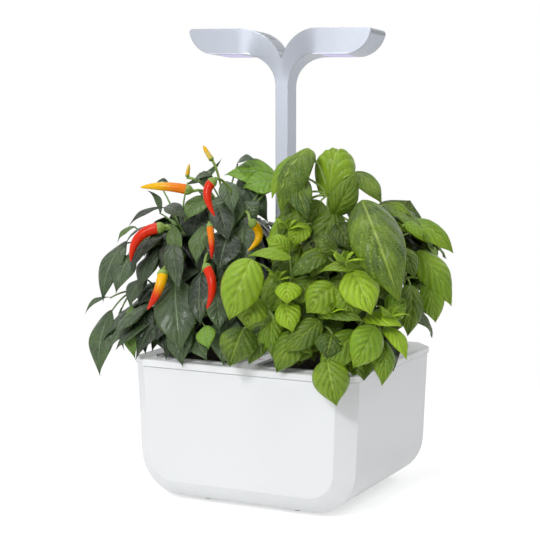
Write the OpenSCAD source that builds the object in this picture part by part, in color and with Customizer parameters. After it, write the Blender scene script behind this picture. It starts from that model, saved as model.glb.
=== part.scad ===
// Countertop hydroponic garden: a water tank with a lift-off lid, two lift-out growing
// cartridges and a height-adjustable grow lamp on a central mast.
// Millimetres. +Z is up, the front faces -Y, and the origin is the centre of the footprint
// on the plane that the feet stand on.

/* [Tank] */
// Width of the tank across its rim
tank_w = 198; // [188:1:225]
// Depth of the tank across its rim
tank_d = 174; // [170:1:200]
// Height of the tank's rim above the counter
rim_z = 111; // [100:1:130]
// Wall thickness of the tank
tank_wall = 2.8; // [2:0.2:4]
// Width of the bevel round the front and back faces
bevel = 14; // [8:0.5:18]
// Radius of the tank's lower corners, seen from the front
corner_r = 36; // [24:1:44]
// Inward lean of the side walls, in degrees
side_draft = 2.2; // [0:0.1:3]
// Inward lean of the front and back walls, in degrees
front_draft = 1.4; // [0:0.1:2]
// Height of the feet
foot_h = 4; // [2:0.5:8]
// Diameter of each foot
foot_dia = 12; // [8:1:20]
// Distance of the feet from the middle, across
foot_x = 40.5; // [25:0.5:50]
// Distance of the feet from the middle, front to back
foot_y = 56; // [40:1:60]

/* [Lid] */
// Thickness of the lid at its edge
lid_t = 5.4; // [4:0.2:8]
// How far the lid overhangs the tank
lid_overhang = 1.2; // [0:0.1:3]
// Shadow gap between the lid and the tank's rim
lid_gap = 0.6; // [0.3:0.1:1.5]
// Depth of the rib that centres the lid in the tank
lid_rib_h = 5; // [3:0.5:8]
// Width of the small bevel along the lid's upper edge
lid_edge = 0.8; // [0.3:0.1:1.5]

/* [Cartridges] */
// Width of a cartridge slot in the lid
slot_w = 70; // [60:1:72]
// Distance from the end of a cartridge slot to the tank's front or back face
slot_margin = 13; // [12:0.5:25]
// Distance from the lid's middle to the centre of a slot
slot_x = 46; // [44:0.5:50]
// Corner radius of a slot
slot_r = 9; // [5:0.5:15]
// Clearance between a cartridge and its slot, each side
tray_gap = 0.5; // [0.3:0.1:1]
// Depth of a cartridge below the lid's top face
tray_h = 50; // [35:1:60]
// Wall of a cartridge
tray_wall = 1.4; // [1:0.1:2]
// Width of the flange that a cartridge hangs by
flange_w = 2.6; // [2:0.2:3]
// Thickness of that flange
flange_t = 1.8; // [1.2:0.1:2.5]
// How far the flange stands proud of the lid
flange_proud = 0.6; // [0.3:0.1:1]
// Depth of the growing block below the cartridge's rim
block_drop = 4; // [2:0.5:8]
// Width of the wick
wick_w = 20; // [10:1:30]
// Thickness of the wick
wick_t = 2; // [1:0.5:4]

/* [Mast and lamp] */
// Width of the mast, seen from the front
mast_w = 11.1; // [10:0.1:12]
// Depth of the mast, front to back
mast_d = 16; // [14:0.5:17]
// Distance of the mast's centre behind the middle of the tank
mast_y = 1.4; // [0:0.1:4]
// Running gap round the mast in its well
mast_gap = 0.6; // [0.4:0.1:1]
// Height of the lamp's top above the counter
lamp_top = 382; // [375:1:400]
// Height of a wing, top to underside
wing_h = 21; // [18:0.5:26]
// Distance from the mast's centre to a wing's tip
wing_span = 81.3; // [76:0.1:95]
// Depth of the wings, front to back
wing_d = 31.6; // [28:0.2:36]
// Radius of the bend from the mast to a wing's underside
bend_r = 25; // [18:0.5:30]
// Radius of the crest that rolls down to the valley between the wings
crest_r = 36; // [35:0.5:40]
// Distance from the mast's centre to the start of that crest
crest_x = 34; // [30:0.5:34.5]
// Radius of the upswept tip of a wing
tip_r = 23.4; // [21.5:0.2:26]
// Wall thickness of the lamp housing
lamp_wall = 1.8; // [1.4:0.1:2.2]
// Lowest point of the mast when the lamp is at its stored height
mast_foot_z = 42; // [40:1:50]
// How far the lamp can be pushed down
lamp_down = 30; // [10:1:30]

/* [Light windows] */
// Length of a light window
window_l = 28; // [20:1:30]
// Distance from the mast's centre to a light window's centre
window_x = 44.4; // [40:0.1:46]
// Width of a light window, front to back
window_w = 16; // [10:1:20]

/* [Controls] */
// Distance from the lamp's top down to the power button's centre
button_drop = 66; // [62:1:78]
// Diameter of the power button
button_dia = 5; // [4:0.5:6]
// Travel of the power button
button_travel = 0.8; // [0.5:0.1:1]
// Distance from the lamp's top down to the power inlet's centre
inlet_drop = 82; // [80:1:100]

/* [Water gauge and filler] */
// Distance of the water gauge in front of the middle
gauge_y = 46; // [30:1:55]
// Diameter of the float
float_dia = 12.6; // [10:0.2:14]
// Length of the float
float_h = 30; // [20:1:40]
// Diameter of the gauge's stem
stem_dia = 3; // [2:0.2:4]
// How far the stem rises when the tank is full
float_rise = 8; // [4:1:12]
// Distance of the filler plug behind the middle
filler_y = 46; // [36:1:52]
// Width of the filler opening
filler_w = 12; // [10:0.5:13]
// Length of the filler opening
filler_l = 34; // [20:1:36]

/* [Hidden] */
$fn = 48;

WHITE = "#eef0f2";
SILVER = "#bfc6d0";
DARK = "#4a4c50";
SOIL = "#3a2c20";

eps = 0.01;                  // overshoot of a cut
foot_sink = 1;               // how deep a foot sits in its socket
lid_z = rim_z + lid_gap;     // underside of the lid
lid_top = lid_z + lid_t;
slot_l = tank_d - 2 * slot_margin;
button_z = lamp_top - button_drop;
inlet_z = lamp_top - inlet_drop;
arc_steps = 10;

// ---- Outlines ----------------------------------------------------------------------

// Points of an arc about c, from angle a0 to a1
function arc(c, r, a0, a1, n = arc_steps) =
    [for (i = [0:n]) c + r * [cos(a0 + (a1 - a0) * i / n), sin(a0 + (a1 - a0) * i / n)]];
function mirrored(pts) = [for (i = [len(pts) - 1:-1:0]) [-pts[i][0], pts[i][1]]];

// The tank seen from the front: straight drafted sides on two large lower corners.
// Every wall is moved inwards by inset, and the open top ends at the height top.
corner_z = foot_h + corner_r;
corner_x = tank_w / 2 - (rim_z - corner_z) * tan(side_draft) - corner_r / cos(side_draft);
function half_u(inset, top) =
    let (r = corner_r - inset,
         x_top = tank_w / 2 + (top - rim_z) * tan(side_draft) - inset / cos(side_draft))
    concat(arc([corner_x, corner_z], r, -90, -side_draft), [[x_top, top]]);
function u_ring(y, inset, lean, top) =
    [for (p = concat(half_u(inset, top), mirrored(half_u(inset, top))))
        [p[0], y + (rim_z - p[1]) * tan(lean), p[1]]];

// A solid through rings of equally many points, each ring turning right-handed about the
// way from the first ring to the last
module loft(rings) {
    n = len(rings);
    k = len(rings[0]);
    walls = [for (i = [0:n - 2], j = [0:k - 1])
        let (a = i * k + j, b = i * k + (j + 1) % k) each [[a, b + k, b], [a, a + k, b + k]]];
    polyhedron([for (r = rings) each r], concat(walls, [[for (j = [0:k - 1]) j]],
               [[for (j = [k - 1:-1:0]) (n - 1) * k + j]]));
}

// The whole tank as a solid: front and back faces lean in and are framed by the bevel
module tank_form(wall, top) {
    face_inset = bevel + wall * tan(22.5);
    y_face = tank_d / 2 - wall;
    y_side = tank_d / 2 - bevel - wall * tan(22.5);
    loft([u_ring(y_face, face_inset, -front_draft, top), u_ring(y_side, wall, 0, top),
          u_ring(-y_side, wall, 0, top), u_ring(-y_face, face_inset, front_draft, top)]);
}

// The lid's outline: a rectangle whose corners are cut by the bevel
module lid_outline(grow) {
    x = tank_w / 2 + grow;
    y = tank_d / 2 + grow;
    c = bevel + grow * tan(22.5);
    polygon([[x - c, -y], [x, -y + c], [x, y - c], [x - c, y],
             [c - x, y], [-x, y - c], [-x, c - y], [c - x, -y]]);
}

module rounded_rect(w, l, r) {
    square([w - 2 * r, l], center = true);
    square([w, l - 2 * r], center = true);
    for (sx = [-1, 1], sy = [-1, 1])
        translate([sx * (w / 2 - r), sy * (l / 2 - r)]) circle(r);
}

// ---- Tank --------------------------------------------------------------------------

well_wall = 2;
well_w = mast_w + 2 * mast_gap;
well_d = mast_d + 2 * mast_gap;
well_top = rim_z - 1;
well_floor = mast_foot_z - lamp_down - 0.5;
floor_z = foot_h + tank_wall;
foot_places = [for (sx = [-1, 1], sy = [-1, 1]) [sx * foot_x, sy * foot_y]];

// One moulding: the shell, the dry well that guides the mast, and the gauge's socket ring
module tank_shell() color(WHITE) {
    difference() {
        union() {
            difference() {
                tank_form(0, rim_z);
                tank_form(tank_wall, rim_z + 1);
            }
            translate([-well_w / 2 - well_wall, mast_y - well_d / 2 - well_wall, floor_z - 0.5])
                cube([well_w + 2 * well_wall, well_d + 2 * well_wall, well_top - floor_z + 0.5]);
            well_ribs();
        }
        translate([-well_w / 2, mast_y - well_d / 2, well_floor])
            cube([well_w, well_d, rim_z]);
        for (p = foot_places)
            translate([p[0], p[1], 0]) cylinder(d = foot_dia, h = foot_h + foot_sink);
    }
}

rib_t = 2;
rib_h = 12;
rib_l = 20;
module well_ribs()
    for (sy = [-1, 1])
        translate([-rib_t / 2, mast_y + sy * (well_d / 2 + rib_l / 2), floor_z - 0.5])
            translate([0, -rib_l / 2, 0]) cube([rib_t, rib_l, rib_h]);

// Rubber pads, each with a small plug end in its socket
module feet() color(DARK)
    for (p = foot_places) translate([p[0], p[1], 0]) {
        cylinder(d1 = foot_dia - 1, d2 = foot_dia, h = 0.8);
        translate([0, 0, 0.8]) cylinder(d = foot_dia, h = foot_h + foot_sink - 0.8);
    }

// Two rubber strips in the well hold the lamp at the height where it is put
pad_z = rim_z - 34;
pad_h = 26;
pad_w = 7;
pad_press = 0.05;            // clearance left between a pad and the mast
module mast_grip_pads() color("#2f3033")
    for (sy = [-1, 1])
        translate([-pad_w / 2, mast_y + sy * (well_d / 2 + mast_d / 2 + pad_press) / 2
                   - (mast_gap - pad_press) / 2, pad_z])
            cube([pad_w, mast_gap - pad_press, pad_h]);

// ---- Water gauge -------------------------------------------------------------------

float_gap = 0.6;
guide_wall = 1.2;
guide_r = float_dia / 2 + float_gap;
guide_h = float_h + float_rise + 6;
guide_floor = 2;
gauge_low = floor_z + guide_floor;   // underside of the float in an empty tank
module gauge_guide() color(WHITE)
    translate([0, -gauge_y, floor_z]) difference() {
        union() {
            cylinder(r = guide_r + guide_wall, h = guide_h);
            cylinder(r = guide_r + 2 * guide_wall, h = 1.5);
        }
        translate([0, 0, guide_floor]) cylinder(r = guide_r, h = guide_h);
        for (a = [0, 90]) rotate(a)
            translate([-2, -guide_r - 2 * guide_wall - 1, 4])
                cube([4, 2 * (guide_r + 2 * guide_wall + 1), guide_h - 12]);
    }

module water_float() color("#f2f3f0")
    translate([0, -gauge_y, gauge_low]) difference() {
        union() {
            translate([0, 0, 1]) cylinder(d = float_dia, h = float_h - 2);
            cylinder(d1 = float_dia - 2, d2 = float_dia, h = 1);
            translate([0, 0, float_h - 1]) cylinder(d1 = float_dia, d2 = float_dia - 2, h = 1);
        }
        translate([0, 0, float_h - 8]) cylinder(d = stem_dia, h = 9);
    }

module gauge_stem() color("#c8372c")
    translate([0, -gauge_y, gauge_low + float_h - 8])
        cylinder(d = stem_dia, h = lid_top - gauge_low - float_h + 8);

// ---- Lid ---------------------------------------------------------------------------

rim_lip_h = 0.5;             // raised lip round each cartridge slot
rim_lip_w = 1.4;
rib_wall = 1.6;
rib_gap = 0.5;
rebate_w = flange_w + 0.4;
rebate_h = flange_t - flange_proud;
mast_hole_gap = 0.8;
stem_hole_gap = 0.6;
filler_gap = 0.4;
filler_r = 3;

module slot_places() for (sx = [-1, 1]) translate([sx * slot_x, 0, 0]) children();

module lid() color(WHITE) difference() {
    union() {
        hull() {
            translate([0, 0, lid_z]) linear_extrude(lid_t - lid_edge) lid_outline(lid_overhang);
            translate([0, 0, lid_z]) linear_extrude(lid_t) lid_outline(lid_overhang - lid_edge);
        }
        // land that rests on the inner half of the tank's rim
        translate([0, 0, rim_z]) linear_extrude(lid_gap + eps) difference() {
            lid_outline(-tank_wall / 2);
            lid_outline(-tank_wall - rib_gap - rib_wall);
        }
        // rib that drops inside the tank and centres the lid
        translate([0, 0, rim_z - lid_rib_h]) linear_extrude(lid_rib_h + eps) difference() {
            lid_outline(-tank_wall - rib_gap);
            lid_outline(-tank_wall - rib_gap - rib_wall);
        }
        slot_places() translate([0, 0, lid_top - eps]) linear_extrude(rim_lip_h)
            rounded_rect(slot_w + 2 * (rebate_w + rim_lip_w), slot_l + 2 * (rebate_w + rim_lip_w),
                         slot_r + rebate_w + rim_lip_w);
    }
    slot_places() {
        translate([0, 0, lid_z - 2]) linear_extrude(lid_t + 4) rounded_rect(slot_w, slot_l, slot_r);
        translate([0, 0, lid_top - rebate_h]) linear_extrude(4)
            rounded_rect(slot_w + 2 * rebate_w, slot_l + 2 * rebate_w, slot_r + rebate_w);
    }
    translate([-mast_w / 2 - mast_hole_gap, mast_y - mast_d / 2 - mast_hole_gap, lid_z - 2])
        cube([mast_w + 2 * mast_hole_gap, mast_d + 2 * mast_hole_gap, lid_t + 4]);
    translate([0, -gauge_y, lid_z - 2]) cylinder(d = stem_dia + 2 * stem_hole_gap, h = lid_t + 4);
    translate([0, filler_y, lid_z - 2]) linear_extrude(lid_t + 4)
        rounded_rect(filler_w, filler_l, filler_r);
}

// Soft strip under the lid, just inside the centring rib
seal_w = 1.2;
seal_h = 2;
module lid_seal() color("#d9dcdd") translate([0, 0, lid_z - seal_h]) linear_extrude(seal_h)
    difference() {
        lid_outline(-tank_wall - rib_gap - rib_wall);
        lid_outline(-tank_wall - rib_gap - rib_wall - seal_w);
    }

// The plug fills the hole in the lid and is pulled out by its finger tab
hook_t = 1.2;                // hooks that hang on the lid's top face at both ends
hook_w = 8;
hook_l = 3;
tab_t = 2;
tab_h = 2.4;
module filler_plug() color(WHITE) translate([0, filler_y, 0]) {
    translate([0, 0, lid_z]) linear_extrude(lid_t)
        rounded_rect(filler_w - 2 * filler_gap, filler_l - 2 * filler_gap, filler_r - filler_gap);
    translate([-tab_t / 2, -filler_l / 4, lid_top - eps]) cube([tab_t, filler_l / 2, tab_h]);
    for (sy = [-1, 1]) translate([-hook_w / 2, (sy * filler_l - hook_l) / 2, lid_top])
        cube([hook_w, hook_l, hook_t]);
}

// ---- Cartridges --------------------------------------------------------------------

tray_w = slot_w - 2 * tray_gap;
tray_l = slot_l - 2 * tray_gap;
tray_r = slot_r - tray_gap;
tray_bottom = lid_top - tray_h;
flange_z = lid_top - rebate_h;
tray_top = flange_z + flange_t;
block_top = tray_top - block_drop;
block_gap = 0.3;
wick_low = floor_z + 2;
pad_l = 110;
drain_w = 3;
drain_count = 7;

module cartridge_tray() color("#e6e8e6") difference() {
    union() {
        translate([0, 0, tray_bottom]) linear_extrude(tray_h) rounded_rect(tray_w, tray_l, tray_r);
        translate([0, 0, flange_z]) linear_extrude(flange_t)
            rounded_rect(tray_w + 2 * flange_w, tray_l + 2 * flange_w, tray_r + flange_w);
    }
    translate([0, 0, tray_bottom + tray_wall]) linear_extrude(tray_h + 5)
        rounded_rect(tray_w - 2 * tray_wall, tray_l - 2 * tray_wall, tray_r - tray_wall);
    // slot for the wick, and drain slots on both sides of it
    translate([-wick_w / 2 - 0.5, -wick_t / 2 - 0.5, tray_bottom - 1])
        cube([wick_w + 1, wick_t + 1, tray_wall + 2]);
    for (sy = [-1, 1], i = [1:drain_count])
        translate([-wick_w / 2, sy * i * tray_l / (2 * drain_count + 2) - drain_w / 2,
                   tray_bottom - 1])
            cube([wick_w, drain_w, tray_wall + 2]);
}

module cartridge_wick() color("#f4f2e6") {
    translate([-wick_w / 2, -pad_l / 2, tray_bottom + tray_wall]) cube([wick_w, pad_l, wick_t]);
    translate([-wick_w / 2, -wick_t / 2, wick_low])
        cube([wick_w, wick_t, tray_bottom + tray_wall + eps - wick_low]);
}

module cartridge_block() color(SOIL) {
    w = tray_w - 2 * tray_wall - 2 * block_gap;
    l = tray_l - 2 * tray_wall - 2 * block_gap;
    z = tray_bottom + tray_wall + wick_t;
    translate([0, 0, z]) linear_extrude(block_top - z) rounded_rect(w, l, tray_r - tray_wall - block_gap);
}

// A snap-in frame that holds the growing block down
rim_w = 4;
rim_t = 1.6;
module cartridge_rim() color(WHITE) {
    w = tray_w - 2 * tray_wall - 0.2;
    l = tray_l - 2 * tray_wall - 0.2;
    r = tray_r - tray_wall - 0.1;
    translate([0, 0, block_top]) linear_extrude(rim_t) difference() {
        rounded_rect(w, l, r);
        rounded_rect(w - 2 * rim_w, l - 2 * rim_w, r - rim_w + 1);
    }
}

module left() translate([-slot_x, 0, 0]) children();
module right() translate([slot_x, 0, 0]) children();

// ---- Lamp --------------------------------------------------------------------------

wing_low = lamp_top - wing_h;
tip_flat = wing_span - sqrt(pow(tip_r, 2) - pow(tip_r + wing_low - lamp_top + 3, 2));
tip_turn = asin((lamp_top - 3 - wing_low - tip_r) / tip_r);
valley_turn = acos(-crest_x / crest_r);

// Right half of the lamp and mast seen from the front, anticlockwise from the mast's foot
function half_lamp() = concat(
    [[mast_w / 2, mast_foot_z]],
    arc([mast_w / 2 + bend_r, wing_low - bend_r], bend_r, 180, 90),
    arc([tip_flat, wing_low + tip_r], tip_r, -90, tip_turn),
    arc([wing_span - 3, lamp_top - 3], 3, 0, 90, 4),
    arc([crest_x, lamp_top - crest_r], crest_r, 90, valley_turn));

// Half of the lamp seen from the side: as deep as the mast below, flaring up to the wings
flare_low = wing_low - 34;
flare_high = wing_low + 1;
function flare(t) = mast_d / 2 + (wing_d - mast_d) / 2 * (1 - sqrt(1 - pow(t, 2.6)));
function half_side() = concat(
    [[mast_d / 2, mast_foot_z]],
    [for (i = [0:arc_steps])
        let (t = i / arc_steps) [flare(t), flare_low + (flare_high - flare_low) * t]],
    [[wing_d / 2, lamp_top + 1]]);

module lamp_form(inset) intersection() {
    rotate([90, 0, 0]) linear_extrude(2 * wing_d, center = true)
        offset(delta = -inset) polygon(concat(half_lamp(), mirrored(half_lamp())));
    translate([0, mast_y, 0]) rotate([90, 0, 90]) linear_extrude(3 * wing_span, center = true)
        offset(delta = -inset) polygon(concat(half_side(), mirrored(half_side())));
}

top_t = 1.4;                 // thickness of a top cover
top_rim = 2.4;               // width of the housing's rim beside a top cover
top_gap = 0.15;
valley_x = 3;                // where a top cover starts, beside the valley
back_w = mast_w - 2 * lamp_wall;
back_top = flare_low - 2;
board_z = wing_low + lamp_wall + 2.4;
board_t = 1.6;
spreader_t = 2;
panel_l = 52;
panel_w = 20;
panel_x = 40;

// A strip of the wing's upper skin, from the valley out to the tip, with a gap at its sides
module top_strip(gap) intersection() {
    difference() {
        lamp_form(0);
        translate([0, 0, -top_t]) lamp_form(0);
    }
    translate([valley_x + gap, mast_y - wing_d / 2 + top_rim + gap, wing_low + 2])
        cube([wing_span, wing_d - 2 * top_rim - 2 * gap, 2 * wing_h]);
}

// Air slots on the slope of a top cover
vent_count = 5;
vent_l = 12;
module vents() for (i = [0:vent_count - 1])
    translate([12 + 3.2 * i, mast_y - vent_l / 2, wing_low + 4]) cube([1.4, vent_l, 2 * wing_h]);

module wing_place(side) mirror([side < 0 ? 1 : 0, 0, 0]) children();

module lamp_top(side) color("#aab0b8") wing_place(side) difference() {
    top_strip(top_gap);
    vents();
}

window_r = 4;
module window_cut(grow, z, h)
    translate([window_x, mast_y, z]) linear_extrude(h)
        rounded_rect(window_l + 2 * grow, window_w + 2 * grow, window_r + grow);

// The housing: hollow wings, closed below and open above under the top covers, and a mast
// whose channel is open at the back, with a rebate for its cover
boss_r = 2.5;
ledge_w = 1;                 // width of the ledge that a top cover rests on, beside its opening
ledge_end = 6;               // length of that ledge at the cover's ends
cover_t = 1;                 // thickness of the mast's back cover
cover_gap = 0.1;
shoulder = 0.8;              // width of the shoulders that the back cover rests on
switch_face = mast_y + mast_d / 2;
channel_y = mast_y - mast_d / 2 + lamp_wall;
module lamp_housing() color(SILVER) difference() {
    lamp_form(0);
    difference() {
        lamp_form(lamp_wall);
        translate([-wing_span, -wing_d, 0]) cube([2 * wing_span, 2 * wing_d, back_top]);
        for (side = [-1, 1]) screw_places(side) difference() {
            translate([0, 0, back_top]) cylinder(r = boss_r, h = board_z - back_top);
            translate([0, 0, board_z - screw_len]) cylinder(r = screw_r, h = screw_len + 1);
        }
    }
    for (side = [-1, 1]) wing_place(side) {
        top_strip(0);
        window_cut(0, wing_low - 1, lamp_wall + 2);
        translate([valley_x + ledge_end, mast_y - wing_d / 2 + top_rim + ledge_w, board_z])
            cube([wing_span - valley_x - 2 * ledge_end, wing_d - 2 * (top_rim + ledge_w), wing_h]);
    }
    translate([-back_w / 2, channel_y, mast_foot_z - 1])
        cube([back_w, mast_d, back_top - shoulder - mast_foot_z + 1]);
    translate([-back_w / 2 - shoulder, switch_face - cover_t, mast_foot_z - 1])
        cube([back_w + 2 * shoulder, mast_d, back_top - mast_foot_z + 1]);
    translate([-back_w / 2, channel_y, mast_foot_z - 1])
        cube([back_w, mast_d - 2 * lamp_wall, flare_low + 2 * shoulder - mast_foot_z + 1]);
}

module mast_back_cover() color(SILVER) difference() {
    translate([-back_w / 2 - shoulder + cover_gap, switch_face - cover_t, mast_foot_z])
        cube([back_w + 2 * (shoulder - cover_gap), cover_t, back_top - cover_gap - mast_foot_z]);
    translate([0, switch_face + 1, button_z]) rotate([90, 0, 0])
        cylinder(r = button_dia / 2 + button_gap, h = cover_t + 2);
    translate([0, switch_face + 1, inlet_z]) rotate([90, 0, 0])
        cylinder(r = inlet_r + cover_gap, h = cover_t + 2);
}

// A window whose two flanges, front and back, rest on the inside of the wing's floor
window_flange = 1.5;
window_flange_t = 0.8;
window_fit = 0.1;
module light_window(side) color("#e9e6f7") wing_place(side) {
    window_cut(-window_fit, wing_low, lamp_wall + eps);
    translate([window_x - window_l / 2 + window_r, mast_y - window_w / 2 - window_flange,
               wing_low + lamp_wall])
        cube([window_l - 2 * window_r, window_w + 2 * window_flange, window_flange_t]);
}

screw_dx = 22;               // lamp screws stand this far each side of a board's centre
screw_r = 1;
screw_gap = 0.1;             // clearance of a screw in the boards
module screw_places(side) wing_place(side)
    for (dx = [-screw_dx, screw_dx]) translate([panel_x + dx, mast_y, 0]) children();

module panel(z, t) difference() {
    translate([panel_x - panel_l / 2, mast_y - panel_w / 2, z]) cube([panel_l, panel_w, t]);
    for (dx = [-screw_dx, screw_dx])
        translate([panel_x + dx, mast_y, z - 1]) cylinder(r = screw_r + screw_gap, h = t + 2);
}

module led_board(side) color("#e8e8e2") wing_place(side) panel(board_z, board_t);
fin_l = 32;
fin_t = 1;
fin_h = 4;
fin_pitch = 3;
module heat_spreader(side) color("#9aa0a6") wing_place(side) {
    panel(board_z + board_t, spreader_t);
    for (sy = [-1, 1], i = [0:2])
        translate([panel_x - fin_l / 2, mast_y + sy * (panel_w / 2 - fin_t - fin_pitch * i) - fin_t / 2,
                   board_z + board_t + spreader_t - eps])
            cube([fin_l, fin_t, fin_h]);
}

led_r = 1.6;
led_h = 1.2;
led_cols = 5;
led_pitch = 5.4;
led_row = 4;                 // distance of each row of lenses from the board's middle
led_slope = 0.5;
module led_lenses() color("#f6f0d8") for (side = [-1, 1]) wing_place(side)
    for (i = [0:led_cols - 1], sy = [-1, 1])
        translate([window_x + (i - (led_cols - 1) / 2) * led_pitch, mast_y + sy * led_row,
                   board_z - led_h])
            cylinder(r1 = led_r - led_slope, r2 = led_r, h = led_h);

screw_head_r = 1.9;
screw_head_h = 1.3;
screw_len = 5;
module lamp_screws() color("#b9bcc0") for (side = [-1, 1]) screw_places(side)
    translate([0, 0, board_z + board_t + spreader_t]) {
        cylinder(r = screw_head_r, h = screw_head_h);
        translate([0, 0, -screw_len]) cylinder(r = screw_r, h = screw_len + eps);
    }

// Upright board on two standoffs in the mast's channel, with the timer chip, a capacitor and
// the switch: each part on it is [width, height off the board, length, its lower end]
standoff = 1;
standoff_w = 3;
driver_y = channel_y + standoff;
driver_t = 1.2;
driver_gap = 0.3;            // between the board's edges and the channel
driver_w = back_w - 2 * driver_gap;
driver_l = 74;
driver_high = button_z + 8;
driver_low = driver_high - driver_l;
chip_w = 5;
chip_l = 7;
chip_h = 1.5;
capacitor_w = 4.4;
capacitor_l = 9;
capacitor_h = 5;
switch_l = 6;
switch_h = 3.5;
driver_parts = [[chip_w, chip_h, chip_l, driver_low + chip_l],
                [capacitor_w, capacitor_h, capacitor_l, driver_low + 2 * capacitor_l],
                [chip_w, switch_h, switch_l, button_z - switch_l / 2]];
module driver_board() color("#2f6b46") {
    translate([-driver_w / 2, driver_y, driver_low]) cube([driver_w, driver_t, driver_high - driver_low]);
    for (p = driver_parts)
        translate([-p[0] / 2, driver_y + driver_t - eps, p[3]]) cube([p[0], p[1], p[2]]);
    for (z = [driver_low + standoff_w, driver_high - 2 * standoff_w])
        translate([-standoff_w / 2, channel_y, z]) cube([standoff_w, standoff + eps, standoff_w]);
}

// Round socket for the plug of a small mains adapter
inlet_r = 2.9;
inlet_hole_r = 1.9;
inlet_pin_r = 0.7;
inlet_box = 6.4;             // side of its square body
inlet_back = 2;              // thickness of its closed end
inlet_pin_in = 1;            // how far the pin stays behind the outer face
inlet_l = switch_face - driver_y - driver_t;
module power_inlet() color("#1f2023") translate([0, switch_face, inlet_z]) rotate([90, 0, 0]) {
    difference() {
        union() {
            cylinder(r = inlet_r, h = inlet_l / 2);
            translate([-inlet_box / 2, -inlet_box / 2, cover_t])
                cube([inlet_box, inlet_box, inlet_l - cover_t]);
        }
        translate([0, 0, -1]) cylinder(r = inlet_hole_r, h = inlet_l - inlet_back + 1);
    }
    translate([0, 0, inlet_pin_in]) cylinder(r = inlet_pin_r, h = inlet_l - inlet_back);
}

// The button's flange stays behind the back cover, and its stem works the switch
button_gap = 0.3;            // clearance round the button in the cover
button_flange_r = 3.1;
button_flange_t = 1.2;
button_stem_r = 1;
button_proud = 1;
stem_gap = 0.1;              // left between the stem and the switch at full press
module power_button() color("#d9dce0") translate([0, switch_face, button_z]) rotate([90, 0, 0]) {
    translate([0, 0, -button_proud]) cylinder(d = button_dia, h = button_proud + cover_t + eps);
    translate([0, 0, cover_t]) cylinder(r = button_flange_r, h = button_flange_t);
    translate([0, 0, cover_t + button_flange_t - eps])
        cylinder(r = button_stem_r, h = inlet_l - switch_h - button_travel - stem_gap
                 - cover_t - button_flange_t + eps);
}

// ---- Sweeps ------------------------------------------------------------------------

function unit(v) = v / norm(v);
function across(face, along) = unit(face - (face * along) * along);

// A closed tube along points, with one radius for each point
module tube(points, radii, sides = 6, ref = [0.3, 1, 0.1]) {
    n = len(points);
    loft([for (i = [0:n - 1])
        let (t = unit(points[min(i + 1, n - 1)] - points[max(i - 1, 0)]),
             u = across(ref, t), v = cross(t, u))
        [for (j = [0:sides - 1])
            points[i] + radii[i] * (cos(360 * j / sides) * u + sin(360 * j / sides) * v)]]);
}

// Points on a bend that starts at a, passes through b half way and ends at c
function bend(a, b, c, n) = let (m = 2 * b - (a + c) / 2)
    [for (i = [0:n]) let (t = i / n) (1 - t) * (1 - t) * a + 2 * t * (1 - t) * m + t * t * c];

// A lead runs from the top of the driver board to the near end of each LED board
wire_r = 0.8;
wire_x = 1.6;
module lamp_wires() color("#c33b32") for (side = [-1, 1]) wing_place(side) {
    start = [wire_x, driver_y + driver_t / 2, driver_high + wire_r / 5];
    end = [panel_x - (panel_l + wire_r) / 2, mast_y, board_z + board_t];
    path = bend(start, [2 * wire_x, mast_y, wing_low - bend_r / 3], end, 6);
    tube(path, [for (p = path) wire_r]);
}

// ---- Plants ------------------------------------------------------------------------
// Every leaf is [base, tip, width, azimuth and elevation of the way its face looks, bow, cup].
// The bow lifts the middle of the midrib towards that face, and a negative cup curls the
// margins away from it.

leaf_t = 0.7;
leaf_steps = [0.1, 0.32, 0.6, 0.85];
function face_of(az, el) = [cos(el) * cos(az), cos(el) * sin(az), sin(el)];
function leaf_half(t, w, waist) = w / 2 * pow(sin(180 * pow(t, waist)), 0.8);

// Ring of a leaf at the share t of its length: across the upper side, then back beneath
function leaf_ring(a, d, f, s, t, row, waist, cells) =
    let (h = leaf_half(t, row[2], waist), m = a + t * d + 4 * t * (1 - t) * row[5] * f)
    concat([for (j = [0:cells]) let (q = 2 * j / cells - 1) m + h * q * s + h * row[6] * q * q * f],
           [for (j = [cells - 1:-1:1]) let (q = 2 * j / cells - 1)
               m + h * q * s + (h * row[6] * q * q - leaf_t) * f]);

module leaf(row, waist, cells) {
    d = row[1] - row[0];
    f = across(face_of(row[3], row[4]), unit(d));
    s = cross(unit(d), f);
    k = 2 * cells;
    n = len(leaf_steps);
    pts = concat([row[0]], [for (t = leaf_steps) each leaf_ring(row[0], d, f, s, t, row, waist, cells)],
                 [row[1]]);
    polyhedron(pts, concat(
        [for (j = [0:k - 1]) [0, 1 + j, 1 + (j + 1) % k]],
        [for (i = [0:n - 2], j = [0:k - 1])
            let (a = 1 + i * k + j, b = 1 + i * k + (j + 1) % k) each [[a, b + k, b], [a, a + k, b + k]]],
        [for (j = [0:k - 1]) let (e = 1 + (n - 1) * k) [e + j, e + k, e + (j + 1) % k]]));
}

module shoot(a, b, ra, rb) hull() {
    translate(a) sphere(ra, $fn = 4);
    translate(b) sphere(rb, $fn = 4);
}

function nearest(p, hubs) = let (d = [for (h = hubs) norm(h - p)], m = min(d))
    [for (i = [0:len(d) - 1]) if (d[i] == m) hubs[i]][0];

// Leaves that fill the back of a plant: golden-angle steps over half a dome
function back_leaves(side, count, width, reach, top) = [for (i = [0:count - 1])
    let (el = asin(0.08 + 0.86 * (i + 0.5) / count), az = (137.5 * i) % 180,
         in_or_out = cos(az) * side > 0 ? 56 : 44,
         d = [cos(el) * cos(az) * in_or_out, cos(el) * sin(az) * reach, sin(el) * top],
         c = [side * 70, 8, 150])
    [c + 0.6 * d + [0, 0, 6], c + d - [0, 0, 10], width * (0.8 + 0.4 * ((i * 7) % 5) / 4),
     az, 30 + el / 2, 6, -0.25]];

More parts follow.
